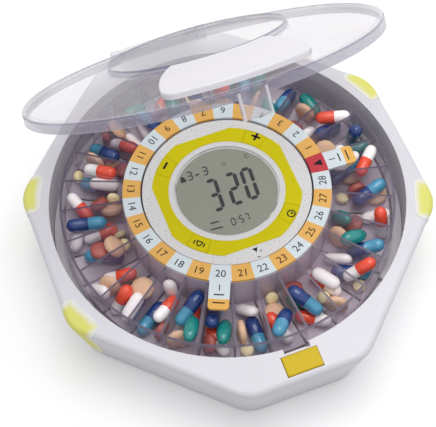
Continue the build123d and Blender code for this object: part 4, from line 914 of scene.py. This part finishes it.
def pill_mesh(kind, sides=12):
    """A pill as a lathe with a few dozen faces, lying along X, or flat if it is a tablet."""
    bm = bmesh.new()
    along = bm.verts.layers.float.new("along")
    flat = kind.endswith("tablet")
    _, width, height, _ = PILLS[kind]
    squash = height / width
    rings = []
    for x, radius in lathe_profile(kind):
        count = sides if radius > 1e-6 else 1
        ring = []
        for i in range(count):
            turn = 2 * pi * i / sides
            across, up = radius * cos(turn), radius * sin(turn)
            vertex = bm.verts.new((across, up, x) if flat else (x, across, up * squash))
            vertex[along] = x / MM
            ring.append(vertex)
        rings.append(ring)
    for ring, after in zip(rings, rings[1:]):
        for i in range(sides):
            j = (i + 1) % sides
            corners = [row[k % len(row)] for row, k in ((ring, i), (ring, j), (after, j), (after, i))]
            bm.faces.new(list(dict.fromkeys(corners)))
    for face in bm.faces:
        face.smooth = True
    return finished_mesh(bm, kind)


pill_meshes = {kind: pill_mesh(kind) for kind in PILLS}
print("pill shapes:", {kind: len(mesh.polygons) for kind, mesh in pill_meshes.items()})

# %% Settle the pills
PER_COMPARTMENT = 4
TRAY_SEED = 7
SIM_SCALE = 100.0            # the settling runs at this many times the real size
SIM_FRAMES = 110
HUB_RADIUS = 55.5 * MM
WALL_RADIUS = 88.0 * MM
WALL_THICKNESS = 9 * MM
WALL_HEIGHT = 75 * MM
DIVIDER = 1.2 * MM
CLEARANCE = 0.5 * MM         # kept from every wall
DROP_NEAR = 59.0             # millimetres from the middle to the nearest drop
DROP_SPREAD = 13.0
FIRST_DROP = 7 * MM          # height of a compartment's first pill above the tray's floor
DROP_STEP = 8.5 * MM
DROP_LEANS = (1.2, 0.9, 0.5)  # radians, the most that a pill leans at the start
RIM_LIMIT = 43.5 * MM        # a pill whose middle is above this would touch the lid or a tab
SOLVER = {"substeps_per_frame": 12, "solver_iterations": 20, "time_scale": 2.5}
WALL_BODY = {                # the margins are at the settling's own scale
    "type": "PASSIVE", "collision_shape": "MESH", "use_margin": True, "collision_margin": 0.0,
    "friction": 0.8,
}
PILL_BODY = {
    "type": "ACTIVE", "collision_shape": "CONVEX_HULL", "mass": 1.0, "friction": 0.8,
    "restitution": 0.05, "linear_damping": 0.15, "angular_damping": 0.3, "use_margin": True,
    "collision_margin": 0.01,
}
floor_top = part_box("tray_floor")[1].z


def settling_walls():
    """Plain walls that match the tray's compartments, tall enough to guide the falling pills."""
    bm = bmesh.new()
    inner, outer = HUB_RADIUS - WALL_THICKNESS, WALL_RADIUS + WALL_THICKNESS
    low, top = floor_top, floor_top + WALL_HEIGHT
    steps = COMPARTMENTS * 2
    angles = [2 * pi * i / steps for i in range(steps)]
    add_sweep(bm, inner, HUB_RADIUS + CLEARANCE, low, top, angles)
    add_sweep(bm, WALL_RADIUS - CLEARANCE, outer, low, top, angles)
    add_sweep(bm, inner, outer, low - WALL_THICKNESS, low + CLEARANCE / 2, angles)
    half = DIVIDER / 2 + CLEARANCE / 2
    for number in range(1, COMPARTMENTS + 1):
        angle = number_angle(number) + PITCH / 2
        corners = [(inner, -half), (outer, -half), (outer, half), (inner, half)]
        outline = [(x * cos(angle) - y * sin(angle), x * sin(angle) + y * cos(angle)) for x, y in corners]
        add_prism(bm, outline, low, WALL_HEIGHT)
    return finished_mesh(bm, "settling_walls")


def dropped_pills(seed):
    """Each pill's kind, start and turn, stacked loosely above its compartment."""
    chance = Random(seed)
    drops = []
    for number in range(1, COMPARTMENTS + 1):
        kinds = chance.sample(list(PILLS), PER_COMPARTMENT)
        angle = number_angle(number)
        height = floor_top + FIRST_DROP
        for kind in kinds:
            spread = DROP_NEAR + DROP_SPREAD * chance.random()
            place = Vector((spread * MM * cos(angle), spread * MM * sin(angle), height))
            roll, tip, swing = [chance.uniform(-most, most) for most in DROP_LEANS]
            drops.append((kind, place, Euler((roll, tip, angle + swing)).to_quaternion()))
            height += DROP_STEP
    return drops


def rigid(world, name, mesh, settings):
    """An object in the settling, made from a mesh that is blown up to the settling's scale."""
    mesh.transform(Matrix.Scale(SIM_SCALE, 4))
    body = new_object(name, mesh)
    world.collection.objects.link(body)
    for setting, value in settings.items():
        setattr(body.rigid_body, setting, value)
    return body


def settle(drops):
    """Runs the rigid bodies and returns each pill's kind with its resting place and turn."""
    scene = bpy.context.scene
    bpy.ops.rigidbody.world_add()
    world = scene.rigidbody_world
    world.collection = bpy.data.collections.new("settling")
    for setting, value in SOLVER.items():
        setattr(world, setting, value)
    world.point_cache.frame_start = 1
    world.point_cache.frame_end = SIM_FRAMES
    bodies = [rigid(world, "settling_walls", settling_walls(), WALL_BODY)]
    for kind, place, turn in drops:
        body = rigid(world, "falling_pill", pill_meshes[kind].copy(), PILL_BODY)
        body.location = place * SIM_SCALE
        body.rotation_mode = "QUATERNION"
        body.rotation_quaternion = turn
        bodies.append(body)
    for frame_number in range(1, SIM_FRAMES + 1):
        scene.frame_set(frame_number)
    resting = []
    for (kind, _, _), body in zip(drops, bodies[1:]):
        place, turn, _ = body.matrix_world.decompose()
        resting.append((kind, place / SIM_SCALE, turn))
    for body in bodies:
        discard(body)
    bpy.ops.rigidbody.world_remove()
    scene.frame_set(1)
    return resting


def inside_tray(place):
    """Whether a pill lies within the compartments and below the rim."""
    reach = hypot(place.x, place.y)
    return HUB_RADIUS < reach < WALL_RADIUS and floor_top < place.z < RIM_LIMIT


settled = settle(dropped_pills(TRAY_SEED))
kept = [pill for pill in settled if inside_tray(pill[1])]
highest = max(place.z for _, place, _ in kept)
print("settled", len(settled), "pills; kept", len(kept), "highest", round(highest / MM, 1), "mm")

# %% [markdown]
# ## Pill finishes
#
# Capsules are two gelatin shells that slide together, so they are glossy and change colour at the
# seam. Soft gels let some light in. Tablets are pressed powder, matt with a fine grain, and some
# have a smoother film coat. Each pill carries two values of its own: how far along it a point is,
# for the seam, and a random shade, because no two from a bottle match exactly.

# %% Pill finishes
CAPSULE_SEAM = 1.0           # millimetres from a capsule's middle
SPECK_SIZE = 0.6 * MM
SHADE_SPREAD = 0.16          # how much lighter the lightest pill is than the darkest
DARKEST_SHADE = 0.92
SKIN_RELIEF = 0.005 * MM     # on gelatin, which has no powder
POWDER_RELIEF = 0.2 * MM     # added for each unit of powder
PILL_LOOKS = {               # material's name, roughness and whatever else sets it apart
    "sky_capsule": ("blue_gelatin_capsule", 0.22, {"coat": 0.4}),
    "red_capsule": ("red_and_white_gelatin_capsule", 0.24, {"coat": 0.3}),
    "green_softgel": ("green_soft_gelatin", 0.16, {"clearness": 0.25, "coat": 0.5}),
    "beige_tablet": ("pressed_beige_powder", 0.7, {"powder": 0.10}),
    "cream_tablet": ("pressed_cream_powder", 0.65, {"powder": 0.08}),
    "white_caplet": ("film_coated_white_caplet", 0.4, {"powder": 0.04}),
    "rust_tablet": ("film_coated_rust_tablet", 0.38, {"powder": 0.06}),
}


def pill_finish(name, colours, roughness, clearness=0.0, coat=0.0, powder=0.0):
    """Gelatin or pressed powder, with one colour on each side of the seam."""
    material, tree, shader, place = new_material(name)
    along = add(tree, "ShaderNodeAttribute", attribute_name="along").outputs["Fac"]
    beyond = maths(tree, "GREATER_THAN", along, CAPSULE_SEAM)
    colour = mixed(tree, beyond, *[linear(half) for half in colours])
    shade = add(tree, "ShaderNodeAttribute", attribute_name="shade").outputs["Fac"]
    specks = noise(tree, place, SPECK_SIZE, 2.0)
    level = maths(tree, "MULTIPLY_ADD", specks, powder)
    level = maths(tree, "ADD", level, maths(tree, "MULTIPLY", shade, SHADE_SPREAD))
    level = maths(tree, "ADD", level, DARKEST_SHADE - powder / 2)
    tint = add(tree, "ShaderNodeHueSaturation", {"Color": colour, "Value": level})
    fill(shader, {"Base Color": tint.outputs[0], "Roughness": roughness,
                  "Transmission Weight": clearness, "Coat Weight": coat})
    emboss(shader, specks, SKIN_RELIEF + powder * POWDER_RELIEF)
    return material


pill_finishes = {kind: pill_finish(name, PILLS[kind][-1], roughness, **more)
                 for kind, (name, roughness, more) in PILL_LOOKS.items()}


def new_tree(name, sockets, result):
    """A geometry node tree with named inputs and one output, and the sockets of its inputs."""
    tree = bpy.data.node_groups.new(name, "GeometryNodeTree")
    for socket, kind in sockets:
        tree.interface.new_socket(socket, in_out="INPUT", socket_type="NodeSocket" + kind)
    tree.interface.new_socket(result, in_out="OUTPUT", socket_type="NodeSocketGeometry")
    return tree, add(tree, "NodeGroupInput").outputs


def finish_tree(tree, placed, material):
    """Turns a tree's instances into real geometry with its material, and ends the tree."""
    real = add(tree, "GeometryNodeRealizeInstances", {0: placed.outputs[0]})
    inputs = {"Geometry": real.outputs[0], "Material": material}
    coated = add(tree, "GeometryNodeSetMaterial", inputs)
    add(tree, "NodeGroupOutput", {0: coated.outputs[0]})


def pill_scatter():
    """A tree that puts a pill at each point, turned as the point says."""
    sockets = (("Points", "Geometry"), ("Pill", "Object"), ("Finish", "Material"))
    tree, given = new_tree("pill_scatter", sockets, "Pills")
    turn = add(tree, "GeometryNodeInputNamedAttribute", {"Name": "turn"}, data_type="QUATERNION")
    shape = add(tree, "GeometryNodeObjectInfo", {"Object": given["Pill"]})
    placed = add(tree, "GeometryNodeInstanceOnPoints",
                 {"Points": given["Points"], "Instance": shape.outputs["Geometry"],
                  "Rotation": turn.outputs["Attribute"]})
    finish_tree(tree, placed, given["Finish"])
    return tree


def realized(source, tree, values, name):
    """The plain mesh that a node tree makes from an object, which is then removed."""
    modifier = source.modifiers.new("nodes", "NODES")
    modifier.node_group = tree
    for item in tree.interface.items_tree:
        if item.item_type == "SOCKET" and item.in_out == "INPUT" and item.name in values:
            modifier[item.identifier] = values[item.name]
    mesh = plain_mesh(source)
    mesh.name = name
    source.modifiers.remove(modifier)
    discard(source)
    return mesh


# %% Put the pills in the tray
scatter = pill_scatter()
chance = Random(TRAY_SEED)
for kind, shape in pill_meshes.items():
    resting = [(place, turn) for name, place, turn in kept if name == kind]
    cloud = bpy.data.meshes.new(kind + "_places")
    cloud.from_pydata([place for place, _ in resting], [], [])
    cloud.attributes.new("turn", "QUATERNION", "POINT")
    cloud.attributes.new("shade", "FLOAT", "POINT")
    cloud.attributes["turn"].data.foreach_set("value", [part for _, turn in resting for part in turn])
    cloud.attributes["shade"].data.foreach_set("value", [chance.random() for _ in resting])
    source = new_object(kind + "_places", cloud)
    shape_holder = new_object(kind, shape)
    finish = pill_finishes[kind]
    mesh = realized(source, scatter, {"Pill": shape_holder, "Finish": finish}, kind + "s")
    bpy.data.objects.remove(shape_holder)
    pills = new_piece(kind + "s", mesh, "carousel", finish)
    print(pills.name, len(resting), "pills,", len(mesh.polygons), "faces")

# %% [markdown]
# ## Dots round the dial
#
# The white dial carries faint rows of small dots, some pale yellow and some grey, with gaps in the
# rows. They are pad printed. A node tree lays points on rings, leaves some out at random, and puts
# a thin round disc at each of those that stay.

# %% Printed dots
DOT_ROWS = 4
DIAL_SPOKES = 64
ROW_TWIST = 0.5 / DIAL_SPOKES    # each row is half a spoke further round, as a share of a turn
ROW_STEP = 1.4 * MM
DOT_RADIUS = 0.35 * MM
DOT_SIDES = 8
DOTS_KEPT = 0.4
DOT_COLOURS = [              # name, colour, radius of the first row, and seed
    ("pale_yellow_dots", "#E8DFA0", 39.6 * MM, 3),
    ("pale_grey_dots", "#D2CFD8", 40.3 * MM, 8),
]


def dot_rows():
    """A tree that makes rings of printed dots, with a share of them left out."""
    sockets = (("First Radius", "Float"), ("Row Step", "Float"), ("Spokes", "Int"), ("Dot Radius", "Float"),
               ("Height", "Float"), ("Kept", "Float"), ("Seed", "Int"), ("Finish", "Material"))
    tree, given = new_tree("dot_rows", sockets, "Dots")
    index = add(tree, "GeometryNodeInputIndex").outputs[0]
    spoke = maths(tree, "DIVIDE", index, given["Spokes"])
    row = maths(tree, "FLOOR", spoke)
    radius = maths(tree, "MULTIPLY_ADD", row, given["Row Step"])
    fill(radius.node, {2: given["First Radius"]})
    turns = maths(tree, "ADD", spoke, maths(tree, "MULTIPLY", row, ROW_TWIST))
    angle = maths(tree, "MULTIPLY", turns, 2 * pi)
    east = maths(tree, "MULTIPLY", radius, maths(tree, "COSINE", angle))
    north = maths(tree, "MULTIPLY", radius, maths(tree, "SINE", angle))
    place = add(tree, "ShaderNodeCombineXYZ", {0: east, 1: north, 2: given["Height"]}).outputs[0]
    count = maths(tree, "MULTIPLY", given["Spokes"], DOT_ROWS)
    points = add(tree, "GeometryNodePoints", {"Count": count, "Position": place}).outputs[0]
    chosen = add(tree, "FunctionNodeRandomValue", {"Probability": given["Kept"], "Seed": given["Seed"]},
                 data_type="BOOLEAN").outputs[3]
    disc = add(tree, "GeometryNodeMeshCylinder", {"Vertices": DOT_SIDES, "Radius": given["Dot Radius"],
                                                  "Depth": INK_THICKNESS}).outputs[0]
    placed = add(tree, "GeometryNodeInstanceOnPoints",
                 {"Points": points, "Selection": chosen, "Instance": disc})
    finish_tree(tree, placed, given["Finish"])
    return tree


rows_tree = dot_rows()
for name, colour, first, seed in DOT_COLOURS:
    ink = moulded("pad_printed_" + name, colour, 0.5, depth=0.0)
    source = new_object(name, bpy.data.meshes.new(name))
    values = {"First Radius": first, "Row Step": ROW_STEP, "Spokes": DIAL_SPOKES,
              "Dot Radius": DOT_RADIUS, "Height": dial_top + INK_THICKNESS / 2, "Kept": DOTS_KEPT,
              "Seed": seed, "Finish": ink}
    mesh = realized(source, rows_tree, values, name)
    new_piece(name, mesh, "housing", ink)
    print(name, len(mesh.polygons), "faces")

# %% [markdown]
# ## Finish
#
# The last cell works out the box of the imported model and the box of the dressed one.

# %% Sizes of the imported and the dressed model
sizes = {"cad": [list(corner) for corner in cad_bounds], "visual": [list(corner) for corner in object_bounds()]}
